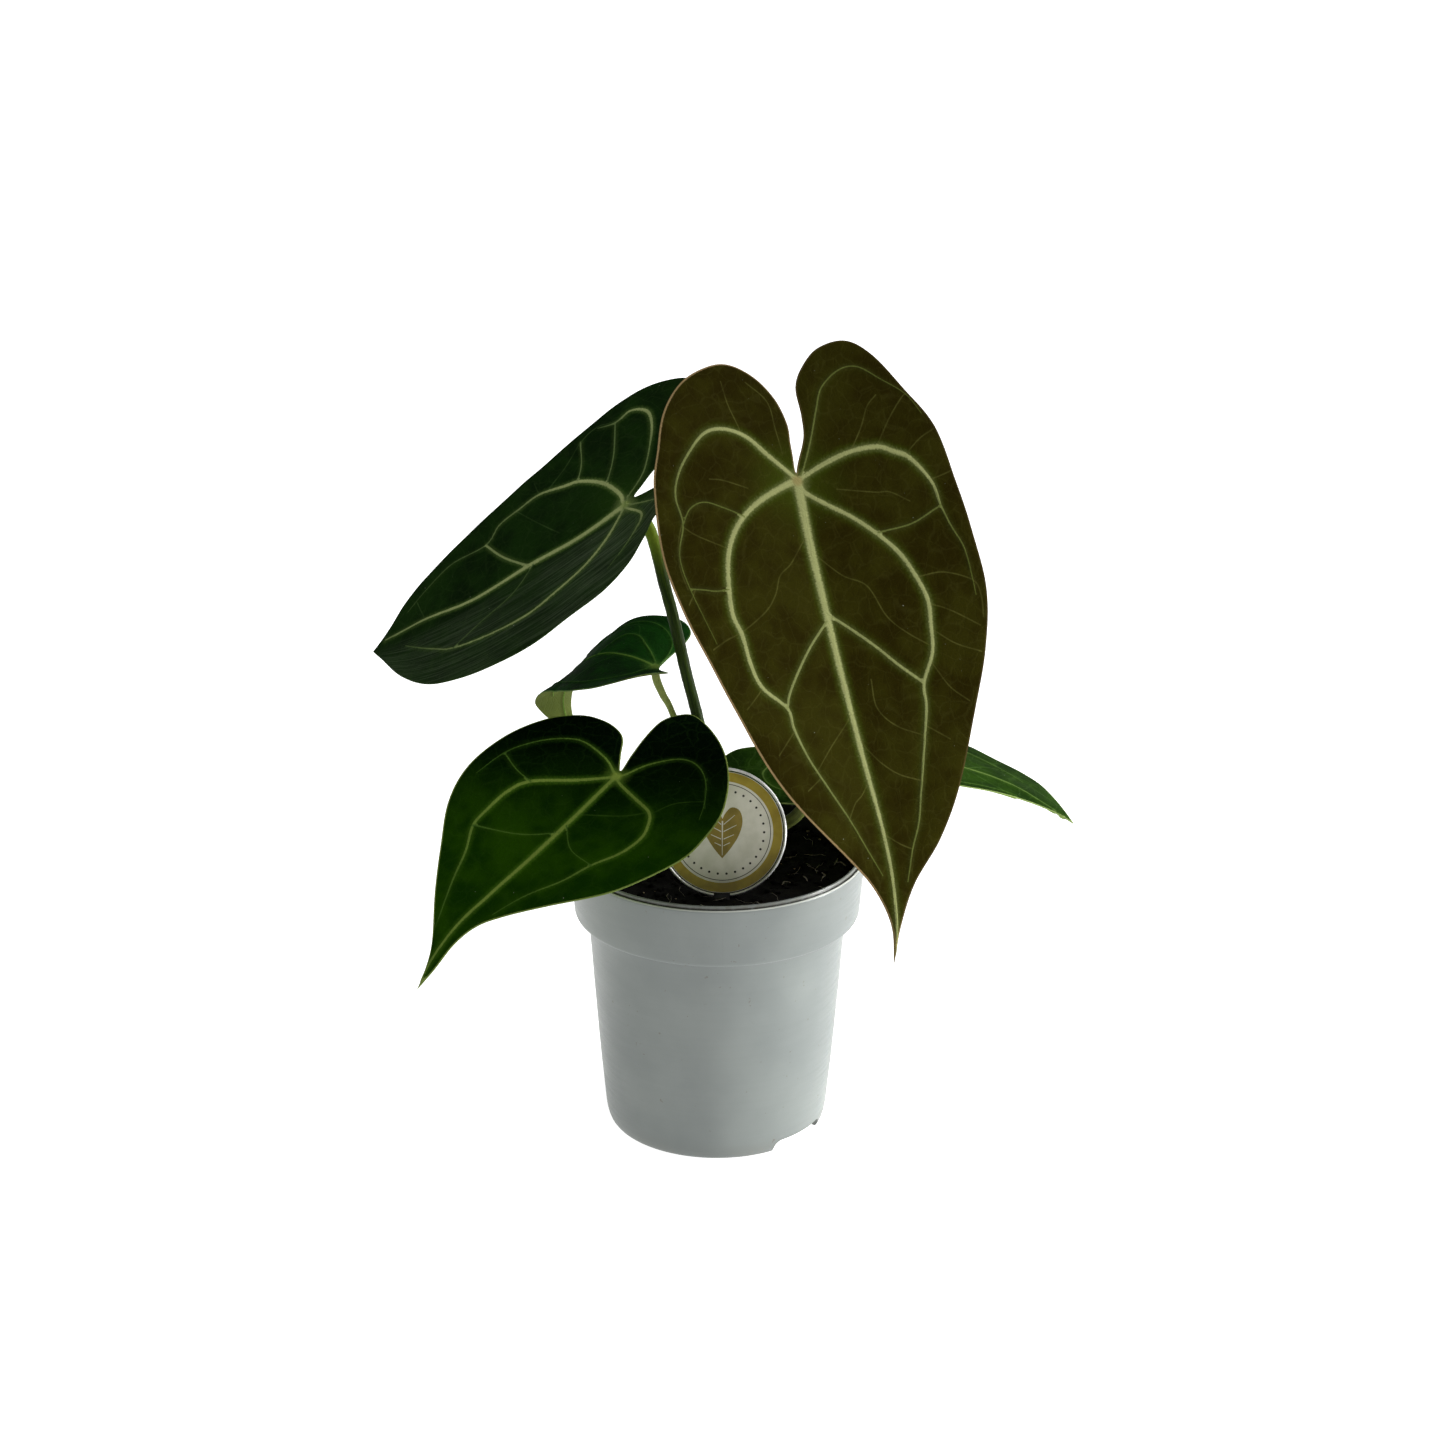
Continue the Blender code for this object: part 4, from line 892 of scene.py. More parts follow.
def rounded_rectangle(width, height, round_radius, corner_steps=6):
    """Points of a rectangle with rounded corners round the origin, anticlockwise."""
    outline = []
    for corner in range(4):
        x = (width / 2 - round_radius) * (1, -1, -1, 1)[corner]
        y = (height / 2 - round_radius) * (1, 1, -1, -1)[corner]
        for step in range(corner_steps + 1):
            turn = math.radians(90 * (corner + step / corner_steps))
            outline.append((x + round_radius * math.cos(turn), y + round_radius * math.sin(turn)))
    return outline


def moved(points, matrix):
    """The points carried by a matrix."""
    return [matrix @ Vector(point) for point in points]


def soil_height(x, y):
    """The height of the peat's uneven top, as in part.py, in metres."""
    return SOIL_TOP + sum(height * math.sin(along_x * x + along_y * y + start)
                          for height, along_x, along_y, start in SOIL_WAVES)


def peat_height(x, y):
    """The peat's top with its lumps, in metres."""
    place = Vector((x, y, 0)) / MM
    lumps = (0.9 * noise.noise(place / 7) + 0.55 * noise.noise(place / 3 + Vector((9, 2, 4)))
             + 0.3 * noise.noise(place / 1.5 + Vector((3, 7, 1))))
    return soil_height(x, y) + lumps * MM


def add_soil(finish):
    """The peat filling, lumpy on top."""
    sides = [(0, 7.9), (43.0, 7.9), (43.9, 9.4), (45.5, 25), (47.5, 50), (49.4, 76), (51.1, 91.3),
             (51.8, 92.4), (55.6, 93.5), (56.0, 94.6), (56.85, 106.6)]
    rings = np.concatenate([np.linspace(56.8, 55.2, 3), np.linspace(54.2, 1.2, 50)])
    section = [(radius * MM, height * MM) for radius, height in sides]
    section += [(radius * MM, SOIL_TOP) for radius in rings] + [(0.0, SOIL_TOP)]
    points, faces = turned(section, 240)
    points = [(x, y, peat_height(x, y)) if z == SOIL_TOP else (x, y, z) for x, y, z in points]
    piece = add_mesh("soil_bed", points, faces, [finish], sharp_degrees=70)
    hand_in(piece, "peat", "soil")


def lump(centre, size, seed, rings=3, sides=6):
    """Points and faces of one small uneven crumb."""
    points = [(0, 0, -1)]
    for ring in range(1, rings + 1):
        tilt = math.pi * ring / (rings + 1)
        for step in range(sides):
            turn = math.tau * (step + ring / 2) / sides
            points.append((math.sin(tilt) * math.cos(turn), math.sin(tilt) * math.sin(turn),
                           -math.cos(tilt)))
    points.append((0, 0, 1))
    points = np.array(points)
    uneven = 1 + 0.45 * perlin(points, 0.9, seed)
    stretch = np.array([1.0, 0.75 + 0.25 * math.sin(seed), 0.6 + 0.2 * math.cos(seed)])
    points = centre + points * stretch * uneven[:, None] * size
    _, faces = turned([(0, -1)] + [(1, 0)] * rings + [(0, 1)], sides)
    return points, faces


def join(parts):
    """Points and faces of many small shapes as one."""
    points, faces = [], []
    for part_points, part_faces in parts:
        start = len(points)
        points += [tuple(point) for point in part_points]
        faces += [tuple(start + corner for corner in face) for face in part_faces]
    return points, faces


def clear_of_stem(x, y):
    """Whether a place on the peat, in millimetres, is outside the stem and the label's stake."""
    return (math.hypot(x - STEM_CENTRE[0] / MM, y - STEM_CENTRE[1] / MM) > STEM_ROOM
            and math.hypot(x - STAKE_PLACE[0], y - STAKE_PLACE[1]) > STAKE_ROOM)


def add_crumbs(dark, pale):
    """Loose crumbs of peat all over, and specks of pale grit, some along the pot's rim."""
    chance = random.Random(11)
    for name, finish, count, sizes in (("soil_crumbs", dark, CRUMB_COUNT, (0.5, 1.9)),
                                       ("soil_grit", pale, GRIT_COUNT, (0.35, 0.8))):
        parts = []
        while len(parts) < count:
            turn = chance.uniform(0, math.tau)
            radius = 55.2 * math.sqrt(chance.random())
            if len(parts) % 3 == 0:
                radius = chance.uniform(51.5, 55.6)
            x, y = radius * math.cos(turn), radius * math.sin(turn)
            size = chance.uniform(*sizes) * chance.uniform(0.6, 1)
            seed = chance.uniform(0, 40)
            if clear_of_stem(x, y):
                z = peat_height(x * MM, y * MM) / MM + size * 0.25
                parts.append(lump(np.array([x, y, z]) * MM, size * MM, seed))
        piece = add_mesh(name, *join(parts), [finish], sharp_degrees=70)
        hand_in(piece, "peat")
    parts = []
    while len(parts) < SPECK_COUNT:
        turn = chance.uniform(0, math.tau)
        rise = chance.random()**2 * 6
        size = chance.uniform(0.18, 0.5)
        radius = 57.45 + (rise - 6) * 0.053 - size * 0.3
        place = np.array([radius * math.cos(turn), radius * math.sin(turn), 109 + rise])
        parts.append(lump(place * MM, size * MM, chance.uniform(0, 40), 2, 5))
    piece = add_mesh("rim_specks", *join(parts), [dark], sharp_degrees=70)
    hand_in(piece, "peat")


def add_fibres(finish):
    """Pale coconut fibres and root threads lying on the peat."""
    chance = random.Random(5)
    parts = []
    given = [[(49.3, 13.0), (48.6, 9.5), (47.6, 5.4)], [(47.8, 8.3), (50.4, 7.0), (52.6, 3.6)],
             [(39.6, -0.5), (42.2, -2.4), (43.6, -6.0), (41.8, -11)], [(34.6, -6), (36.4, -11.6)],
             [(26.1, -14), (27.4, -11), (29.6, -12.6)], [(30, 47), (33, 44.6), (35, 41)],
             [(7, -38), (9.6, -36.8), (12, -38.6)], [(-22, -36), (-18, -39)]]
    while len(parts) < FIBRE_COUNT:
        if given:
            line = given.pop()
            thick = 0.3
        else:
            turn, heading = chance.uniform(0, math.tau), chance.uniform(0, math.tau)
            radius = 52 * math.sqrt(chance.random())
            x, y = radius * math.cos(turn), radius * math.sin(turn)
            line = [(x, y)]
            for _ in range(chance.choice((2, 3, 4))):
                heading += chance.uniform(-0.8, 0.8)
                step = chance.uniform(1.5, 3.5)
                x, y = x + step * math.cos(heading), y + step * math.sin(heading)
                line.append((x, y))
            thick = chance.uniform(0.07, 0.16)
        if not all(math.hypot(*place) < FIBRE_REACH and clear_of_stem(*place) for place in line):
            continue
        flat = smooth_curve(line, 0.8)
        if len(flat) < 3:
            continue
        lift = 0.35 + 0.5 * np.sin(np.linspace(0, math.pi, len(flat))) * chance.random()
        heights = [peat_height(x * MM, y * MM) / MM for x, y in flat]
        route = np.column_stack([flat, np.array(heights) + thick / 2 + lift])
        radii = thick * np.interp(np.linspace(0, 1, len(flat)), (0, 0.2, 0.8, 1),
                                  (0.4, 1, 0.9, 0.3))
        points, faces, _ = tube(route, radii, 6)
        parts.append((points * MM, faces))
    piece = add_mesh("soil_fibres", *join(parts), [finish], sharp_degrees=70)
    hand_in(piece, "peat")


def add_stem(finish, papery):
    """The squat stem, knobbly, with dry papery scales round the feet of the petioles."""
    height = (STEM_TOP - STEM_BOTTOM) / MM
    side = smooth_curve([(0.85, 0.0), (1.0, 0.15), (1.0, 0.70), (0.95, 0.84), (0.80, 0.93),
                         (0.50, 0.98), (0.2, 1.0)], 0.05)
    section = [(wide * STEM_RADIUS, STEM_BOTTOM + high * height * MM) for wide, high in side]
    points, faces = turned([(0.0, STEM_BOTTOM), *section, (0.0, STEM_TOP)], 72, STEM_CENTRE)
    points = np.array(points)
    middle = np.array([*STEM_CENTRE, 0]) * (1, 1, 0) + points * (0, 0, 1)
    knobs = 0.05 * perlin(points / MM, 3.2, 2) + 0.03 * perlin(points / MM, 1.1, 6) - 0.03
    points = points + (points - middle) * knobs[:, None]
    piece = add_mesh("stem_crown", points, faces, [finish], sharp_degrees=70)
    hand_in(piece, "stem_skin", "stem")

    chance = random.Random(3)
    parts = []
    last_row, last_column = SCALE_ROWS - 1, SCALE_COLUMNS - 1
    skin_size = SCALE_ROWS * SCALE_COLUMNS
    for number in range(SCALE_COUNT):
        turn = math.tau * number / SCALE_COUNT + chance.uniform(-0.2, 0.2)
        long = chance.uniform(9, 15)
        wide = chance.uniform(3.2, 4.6)
        lean = chance.uniform(0.02, 0.2)
        out = np.array([math.cos(turn), math.sin(turn), 0])
        across = np.array([-math.sin(turn), math.cos(turn), 0])
        centre = np.array([*STEM_CENTRE, 0]) / MM
        points, faces = [], []
        for skin in (0.0, SCALE_SKIN):
            for row in range(SCALE_ROWS):
                share = row / last_row
                half = wide * math.sqrt(max(0.0, 1 - share**1.6)) * 0.5 + 0.05
                for column in range(SCALE_COLUMNS):
                    aside = 2 * column / last_column - 1
                    curl = SCALE_RADIUS + skin + lean * long * share**2 - 1.4 * aside**2
                    curl += 0.3 * noise.noise(Vector((number * 3, share * 3, aside * 1.5)))
                    points.append(centre + out * curl + across * half * aside
                                  + np.array([0, 0, SCALE_FOOT + long * share]))
        grid = np.arange(skin_size).reshape(SCALE_ROWS, SCALE_COLUMNS).tolist()
        for low_row, high_row in zip(grid, grid[1:]):
            for corners in zip(low_row, high_row, high_row[1:], low_row[1:]):
                faces.append(corners)
                faces.append(tuple(skin_size + corners[corner] for corner in (0, 3, 2, 1)))
        border = (grid[0] + [row[-1] for row in grid[1:]] + grid[-1][-2::-1]
                  + [row[0] for row in grid[-2:0:-1]])
        for here, after in zip(border, border[1:] + border[:1]):
            faces.append((here, after, skin_size + after, skin_size + here))
        parts.append((np.array(points) * MM, faces))
    piece = add_mesh("stem_scales", *join(parts), [papery], sharp_degrees=50)
    hand_in(piece, "stem_skin")


def cut(piece, cutters):
    """Takes the cutters' shapes out of the piece, for good."""
    helpers = []
    for number, (points, faces) in enumerate(cutters):
        mesh = bpy.data.meshes.new(f"cutter_{number}")
        mesh.from_pydata([tuple(point) for point in points], [], faces)
        helper = bpy.data.objects.new(f"cutter_{number}", mesh)
        bpy.context.scene.collection.objects.link(helper)
        modifier = piece.modifiers.new(helper.name, "BOOLEAN")
        modifier.operation = "DIFFERENCE"
        modifier.solver = "EXACT"
        modifier.object = helper
        helpers.append(helper)
    result = piece.evaluated_get(bpy.context.evaluated_depsgraph_get())
    made = bpy.data.meshes.new_from_object(result)
    piece.modifiers.clear()
    piece.data = made
    for helper in helpers:
        bpy.data.objects.remove(helper)


def add_pot(finish):
    """The pot: a thin moulded shell with rounded edges, drainage notches and drain holes."""
    section = [(radius * MM, height * MM) for radius, height in POT_SECTION]
    piece = add_mesh("pot_shell", *turned(section, POT_SEGMENTS), [finish], sharp_degrees=35)
    notch = rounded_rectangle(NOTCH_WIDTH, 2 * NOTCH_HEIGHT, NOTCH_ROUND)
    stand = Matrix.Rotation(math.radians(90), 4, "Y") @ Matrix.Rotation(math.radians(90), 4, "Z")
    cutters = []
    for angle in NOTCH_ANGLES:
        turn = Matrix.Rotation(math.radians(angle), 4, "Z")
        out = Matrix.Translation((FOOT_RADIUS - NOTCH_REACH, 0, 0))
        points, faces = prism(notch, 0, 2 * NOTCH_REACH)
        cutters.append((moved(points, turn @ out @ stand), faces))
    for number in range(DRAIN_COUNT):
        turn = math.tau * (number + 0.5) / DRAIN_COUNT
        centre = (DRAIN_RING_RADIUS * math.cos(turn), DRAIN_RING_RADIUS * math.sin(turn))
        cutters.append(prism(circle(DRAIN_RADIUS, 32, centre), FLOOR_Z - WALL, FLOOR_Z + 2 * WALL))
    cut(piece, cutters)
    hand_in(piece, "pot_plastic", "pot")


def label_place():
    """Where the label stands: its own X to the right, Y up its face and Z out of its face."""
    return Matrix.Translation(LABEL_CENTRE) @ Matrix.Rotation(math.radians(90) - LABEL_LEAN, 4, "X")


def label_print():
    """The outlines of the label's plain printed design in millimetres: a list of (points, kind),
    kind 1 for the gold ring, 2 for the leaf, 3 for the dark ring and dots and 0 for the ground."""
    shapes = [(circle(23.9, 96), 1), (circle(20.2, 96), 0), (circle(19.3, 96), 3),
              (circle(19.0, 96), 0)]
    for number in range(30):
        turn = math.tau * number / 30
        shapes.append((circle(0.5, 10, (16.6 * math.cos(turn), 16.6 * math.sin(turn))), 3))
    blade = [(0, -10.5), (3.4, -6.4), (6.6, -1.2), (8.0, 4.2), (6.8, 8.6), (3.6, 9.8), (0.9, 7.2),
             (0, 5.2), (-0.9, 7.2), (-3.6, 9.8), (-6.8, 8.6), (-8.0, 4.2), (-6.6, -1.2),
             (-3.4, -6.4)]
    outline = smooth_curve(blade + blade[:1], 0.9)[:-1]
    shapes.append(([tuple(point) for point in outline], 2))
    shapes.append(([(-0.28, 4.4), (-0.1, -9.2), (0.1, -9.2), (0.28, 4.4)], 0))
    for side in (1, -1):
        for low, high in (((0.5, 3.0), (4.9, 6.7)), ((0.5, 0.2), (5.6, 2.8)),
                          ((0.5, -2.8), (4.6, -1.0)), ((0.5, -5.4), (3.1, -4.2))):
            bar = [(side * low[0], low[1] - 0.2), (side * high[0], high[1] - 0.12),
                   (side * high[0], high[1] + 0.12), (side * low[0], low[1] + 0.2)]
            shapes.append((bar[::side], 0))
    return shapes


def on_label(solid):
    """Points of the laid-out label, in millimetres, at the place where the label stands."""
    return moved(np.array(solid) * MM, label_place())


def add_label_face(finishes):
    """The label's printed disc."""
    radius = (LABEL_RADIUS - BEZEL_WIDTH - GAP) / MM
    front = DISC_DEPTH / 2 / MM
    rim = circle(radius - FACE_BEVEL, FACE_SEGMENTS)
    points, edges, kinds = [], [], []
    for outline, kind in [(rim, 0), *label_print()]:
        start = len(points)
        points += outline
        count = len(outline)
        edges += [(start + step, start + (step + 1) % count) for step in range(count)]
        kinds.append((np.array(outline), kind))
    result = delaunay_2d_cdt([Vector(point) for point in points], edges,
                             [list(range(len(rim)))], 1, 1e-5)
    flat = np.array([tuple(point) for point in result[0]])
    triangles = result[2]
    middles = np.array([flat[list(triangle)].mean(axis=0) for triangle in triangles])
    chosen = np.zeros(len(triangles), int)
    for outline, kind in kinds:
        chosen[inside(outline, middles)] = kind
    size = len(flat)
    loop = [int(np.linalg.norm(flat - spot, axis=1).argmin()) for spot in np.array(rim)]
    solid = [(x, y, front) for x, y in flat]
    for wide, deep in ((radius, front - FACE_BEVEL), (radius, FACE_BEVEL - front),
                       (radius - FACE_BEVEL, -front)):
        solid += [(x, y, deep) for x, y in circle(wide, len(rim))]
    solid.append((0, 0, -front))
    faces = [tuple(triangle) for triangle in triangles]
    rings = [loop] + [list(range(size + ring * len(rim), size + (ring + 1) * len(rim)))
                      for ring in range(3)]
    for high, low in zip(rings, rings[1:]):
        faces += wall(low, high)
    back = rings[-1]
    faces += [(after, here, len(solid) - 1) for here, after in zip(back, back[1:] + back[:1])]
    chosen = np.concatenate([chosen, np.zeros(len(faces) - len(chosen), int)])
    piece = add_mesh("label_face", on_label(solid), faces, finishes, {"flat": np.array(solid)},
                     chosen, 30)
    hand_in(piece, "label_print", "label_disc")


def add_label_ring(finish):
    """The bright ring round the disc, open at the bottom."""
    ring_radius = (LABEL_RADIUS - BEZEL_WIDTH / 2) / MM
    sweep = math.tau - BEZEL_OPENING
    turns = -math.pi / 2 + BEZEL_OPENING / 2 + sweep * np.linspace(0, 1, RING_STEPS)
    route = np.column_stack([ring_radius * np.cos(turns), ring_radius * np.sin(turns),
                             np.zeros(len(turns))])
    solid, faces, places = tube(route, np.full(len(route), 1.0), RING_SIDES)
    out = route / ring_radius
    middle = np.repeat(route, RING_SIDES, axis=0)
    outward = np.repeat(out, RING_SIDES, axis=0)
    gap = solid - middle
    radial = (gap * outward).sum(axis=1)
    solid = middle + outward * (radial * 0.58)[:, None] + np.array([0, 0, 1]) * gap[:, 2:] * 1.15
    piece = add_mesh("label_rim", on_label(solid), faces, [finish], {"flat": places}, None, 60)
    hand_in(piece, "label_ring", "label_bezel")


def add_label_stake(finish):
    """The flat pointed stake behind the disc."""
    half = STAKE_WIDTH / 2 / MM
    low = (-LABEL_RADIUS + STAKE_TOP - STAKE_LENGTH) / MM
    high = (-LABEL_RADIUS + STAKE_TOP) / MM
    outline = [(-half, high), (-half, low + half), (-half / 3, low), (half / 3, low),
               (half, low + half), (half, high)]
    back = (-DISC_DEPTH / 2 - GAP - STAKE_DEPTH) / MM
    deep = STAKE_DEPTH / MM
    layers = [(0.3, back), (0, back + 0.25), (0, back + deep - 0.25), (0.3, back + deep)]
    solid = []
    for inset, level in layers:
        solid += [(x - math.copysign(inset, x), min(max(y, low + inset), high - inset), level)
                  for x, y in outline]
    rings = np.arange(len(solid)).reshape(len(layers), -1).tolist()
    faces = [tuple(rings[0][::-1]), tuple(rings[-1])]
    for lower, upper in zip(rings, rings[1:]):
        faces += wall(lower, upper)
    piece = add_mesh("label_stick", on_label(solid), faces, [finish], {"flat": np.array(solid)},
                     None, 50)
    hand_in(piece, "stake_plastic", "label_stake")


# ---- finishes ---------------------------------------------------------------------------------

def linear(colour):
    """A colour of 0 to 255 values as the shader's own numbers."""
    shares = [value / 255 for value in colour]
    return (*(share / 12.92 if share <= 0.04045 else ((share + 0.055) / 1.055)**2.4
              for share in shares), 1.0)


class Finish:
    """A material whose nodes are added one call at a time."""

    def __init__(self, name, **constants):
        self.material = bpy.data.materials.new(name)
        self.material.use_nodes = True
        self.shader = self.material.node_tree.nodes["Principled BSDF"]
        for key, value in constants.items():
            self.shader.inputs[key.replace("_", " ")].default_value = value

    def node(self, kind, inputs, output=0, **settings):
        """A node with its settings, its inputs set or linked, and the output that is wanted."""
        made = self.material.node_tree.nodes.new("ShaderNode" + kind)
        for key, value in settings.items():
            setattr(made, key, value)
        for key, value in inputs.items():
            self.feed(made.inputs[key], value)
        return made.outputs[output]

    def feed(self, socket, value):
        """Links a node's output to a socket, or sets the socket."""
        if isinstance(value, bpy.types.NodeSocket):
            self.material.node_tree.links.new(value, socket)
        else:
            socket.default_value = value

    def places(self):
        """Where each point of the object is, in millimetres."""
        return self.vector("MULTIPLY", self.node("NewGeometry", {}, "Position"), (1 / MM,) * 3)

    def read(self, name, output="Fac"):
        """An attribute of the mesh."""
        return self.node("Attribute", {}, output, attribute_name=name)

    def mathed(self, operation, *values):
        """A Math node."""
        return self.node("Math", dict(enumerate(values)), operation=operation)

    def times(self, first, second):
        """The product of two values."""
        return self.mathed("MULTIPLY", first, second)

    def scaled(self, value, factor, offset):
        """A value times a factor, plus an offset."""
        return self.mathed("MULTIPLY_ADD", value, factor, offset)

    def off(self, value, middle):
        """How far a value is from its middle."""
        return self.mathed("SUBTRACT", value, middle)

    def apart(self, value, middle):
        """How far a value is from its middle, either way."""
        return self.mathed("ABSOLUTE", self.off(value, middle))

    def part(self, vector, axis):
        """One coordinate of a vector."""
        return self.node("SeparateXYZ", {0: vector}, axis)

    def vector(self, operation, first, second):
        """A Vector Math node."""
        return self.node("VectorMath", {0: first, 1: second}, operation=operation)

    def length(self, vector):
        """The length of a vector."""
        return self.node("VectorMath", {0: vector}, "Value", operation="LENGTH")

    def edges(self, vector, scale):
        """The distance from the nearest line of a net of cells."""
        return self.node("TexVoronoi", {"Vector": vector, "Scale": scale}, "Distance",
                         feature="DISTANCE_TO_EDGE")

    def stretched(self, vector, scale):
        """A vector scaled along each axis."""
        return self.node("Mapping", {"Vector": vector, "Scale": scale})

    def cloud(self, vector, scale, detail=2.0, roughness=0.5, distortion=0.0):
        """Noise from 0 to 1."""
        return self.node("TexNoise", {"Vector": vector, "Scale": scale, "Detail": detail,
                                      "Roughness": roughness, "Distortion": distortion}, 0)

    def step(self, value, low, high, start=0.0, end=1.0):
        """A smooth step from start to end as the value goes from low to high."""
        return self.node("MapRange", {"Value": value, "From Min": low, "From Max": high,
                                      "To Min": start, "To Max": end},
                         interpolation_type="SMOOTHSTEP")

    def mix(self, share, first, second):
        """A blend of two colours, each an output or a colour of 0 to 255 values."""
        first, second = (value if isinstance(value, bpy.types.NodeSocket) else linear(value)
                         for value in (first, second))
        return self.node("Mix", {0: share, 6: first, 7: second}, 2, data_type="RGBA")

    def shade(self, colour, amount, low=0.8, high=1.2):
        """A colour made darker or lighter by a noise value."""
        level = self.node("MapRange", {"Value": amount, "From Min": 0.25, "From Max": 0.75,
                                       "To Min": low, "To Max": high})
        grey = self.node("CombineColor", {0: level, 1: level, 2: level})
        return self.node("Mix", {0: 1.0, 6: colour, 7: grey}, 2, data_type="RGBA",
                         blend_type="MULTIPLY")

    def close(self, colour, roughness=None, bump=None, distance=0.1):
        """Joins the colour, the roughness and a bump height, its distance in millimetres."""
        self.feed(self.shader.inputs["Base Color"], colour)
        if roughness is not None:
            self.feed(self.shader.inputs["Roughness"], roughness)
        if bump is not None:
            normal = self.node("Bump", {"Strength": 1.0, "Distance": distance * MM,
                                        "Height": bump}, "Normal")
            self.feed(self.shader.inputs["Normal"], normal)
        return self.material


def leaf_finish(name, look):
    """A velvety blade: mottled ground, soft green beside the veins, feathery pale veins, a thin
    net between them, a pale margin and a paler underside."""
    made = Finish(name, Specular_IOR_Level=look["gloss"])
    flat = made.read("flat", "Vector")
    vein = made.read("vein", "Vector")
    fibres = made.cloud(made.stretched(vein, (0.09, 2.4, 1.0)), 1.0, 3.0, 0.6)
    hairs = made.cloud(made.stretched(vein, (1.5, 0.3, 1.0)), 1.0, 4.0, 0.72)
    broad = made.cloud(flat, 0.03, 3.0)
    patch = made.cloud(flat, 0.12, 3.0, 0.5)
    grain = made.cloud(flat, 2.2, 3.0, 0.7)
    feather = made.cloud(flat, 0.8, 4.0, 0.75)
    uneven = made.off(feather, 0.5)
    strong = made.read("strong")
    along = made.part(flat, "X")
    across = made.part(flat, "Y")
    spot = made.length(flat)
    colour = made.mix(made.step(made.scaled(patch, 0.5, broad), 0.55, 0.95),
                      look["dark"], look["light"])
    # Painted shade: the blade darkens to near black towards its lobes, from one place along it to
    # another
    if look["painted_shade"]:
        start, end, slant = look["painted_shade"]
        far = made.scaled(across, slant, along)
        far = made.step(made.scaled(broad, 20.0, far), start, end)
        colour = made.mix(far, colour, (0, 10, 1))
    if look["green"]:
        round_spot = made.step(made.scaled(patch, 16.0, spot), 34.0, 6.0)
        colour = made.mix(made.times(round_spot, look["green"]), colour, look["halo"])
    # Painted sheen: pale grey streaks along the blade, on one half of it and strongest near the
    # junction
    if look["sheen_streaks"]:
        flow = made.stretched(made.read("flow", "Vector"), (0.03, 1.1, 1.0))
        lines = made.cloud(flow, 1.0, 4.0, 0.7)
        share = made.times(made.step(lines, 0.38, 0.74, 0.08, 0.85), look["sheen_streaks"])
        share = made.times(share, made.step(across, 0.0, 10.0, 0.05, 1.0))
        share = made.times(share, made.step(along, 60.0, 10.0, 1.0, 1.7))
        colour = made.mix(share, colour, (84, 98, 74))

    bend = made.node("TexNoise", {"Vector": flat, "Scale": 0.12}, "Color")
    bent = made.vector("ADD", flat, made.vector("MULTIPLY", bend, (7.0, 7.0, 0.0)))
    net = made.edges(bent, 0.13)
    fine_net = made.edges(bent, 0.36)
    colour = made.mix(made.step(net, 0.045, 0.005, 0.0, 1.6 * look["net"]), colour, look["thin"])
    colour = made.mix(made.step(fine_net, 0.07, 0.0, 0.0, 0.8 * look["net"]), colour, look["thin"])

    near = made.read("near")
    reach = look["halo_reach"]
    spread = made.scaled(feather, -reach, near)
    wide = made.times(made.step(spread, 0.35 * reach, -0.6 * reach), 0.75)
    colour = made.mix(made.times(wide, strong), colour, look["halo"])
    tight = made.times(made.step(made.scaled(hairs, -3.6, near), 0.0, -2.6), 0.55)
    glow = made.mix(0.4, look["halo"], look["core"])
    colour = made.mix(made.times(tight, strong), colour, glow)
    joint = made.step(made.scaled(uneven, 6.0, spot), 7.0, 1.5, 0.0, 0.6)
    colour = made.mix(joint, colour, glow)

    thin = made.scaled(feather, -1.0, made.read("thin"))
    thin = made.times(made.step(thin, 1.5, 0.1), made.step(patch, 0.3, 0.7, 0.2, 0.6))
    colour = made.mix(thin, colour, look["thin"])
    main = made.scaled(made.off(hairs, 0.5), 1.5, made.read("main"))
    main = made.scaled(made.off(fibres, 0.5), 0.7, main)
    core = made.shade(made.mix(made.step(strong, 0.0, 0.8), look["faint"], look["core"]), fibres,
                      0.8, 1.12)
    solid = made.times(made.step(main, 1.25, 0.5), made.step(strong, -0.5, 0.5))
    colour = made.mix(solid, colour, core)

    colour = made.mix(made.step(spot, 3.2, 1.0, 0.0, look["spot_share"]), colour, look["spot"])
    edge = made.scaled(uneven, 0.5, made.read("edge"))
    width = look["margin_width"]
    rim = made.step(edge, 1.25 * width, 0.5 * width, 0.0, 0.85)
    if look["margin_side"]:
        rim = made.times(rim, made.step(across, 14.0, -14.0, 0.15, 1.0))
    colour = made.mix(rim, colour, look["margin"])
    dust = made.step(made.cloud(flat, 0.9, 1.0), 0.79, 0.83, 0.0, 0.6)
    colour = made.mix(dust, colour, (160, 166, 150))
    under = made.mix(made.step(main, 1.6, 0.8), look["under"], look["core"])
    colour = made.mix(made.step(made.read("side"), 0.3, -0.3), colour,
                      made.shade(under, patch, 0.85, 1.15))
    colour = made.shade(colour, grain, 0.84, 1.18)

    rough = made.step(made.mathed("ADD", grain, patch), 0.6, 1.4, 0.7, 0.86)
    height = made.scaled(grain, 0.5, made.step(fine_net, 0.0, 0.12))
    return made.close(colour, rough, height, 0.07)


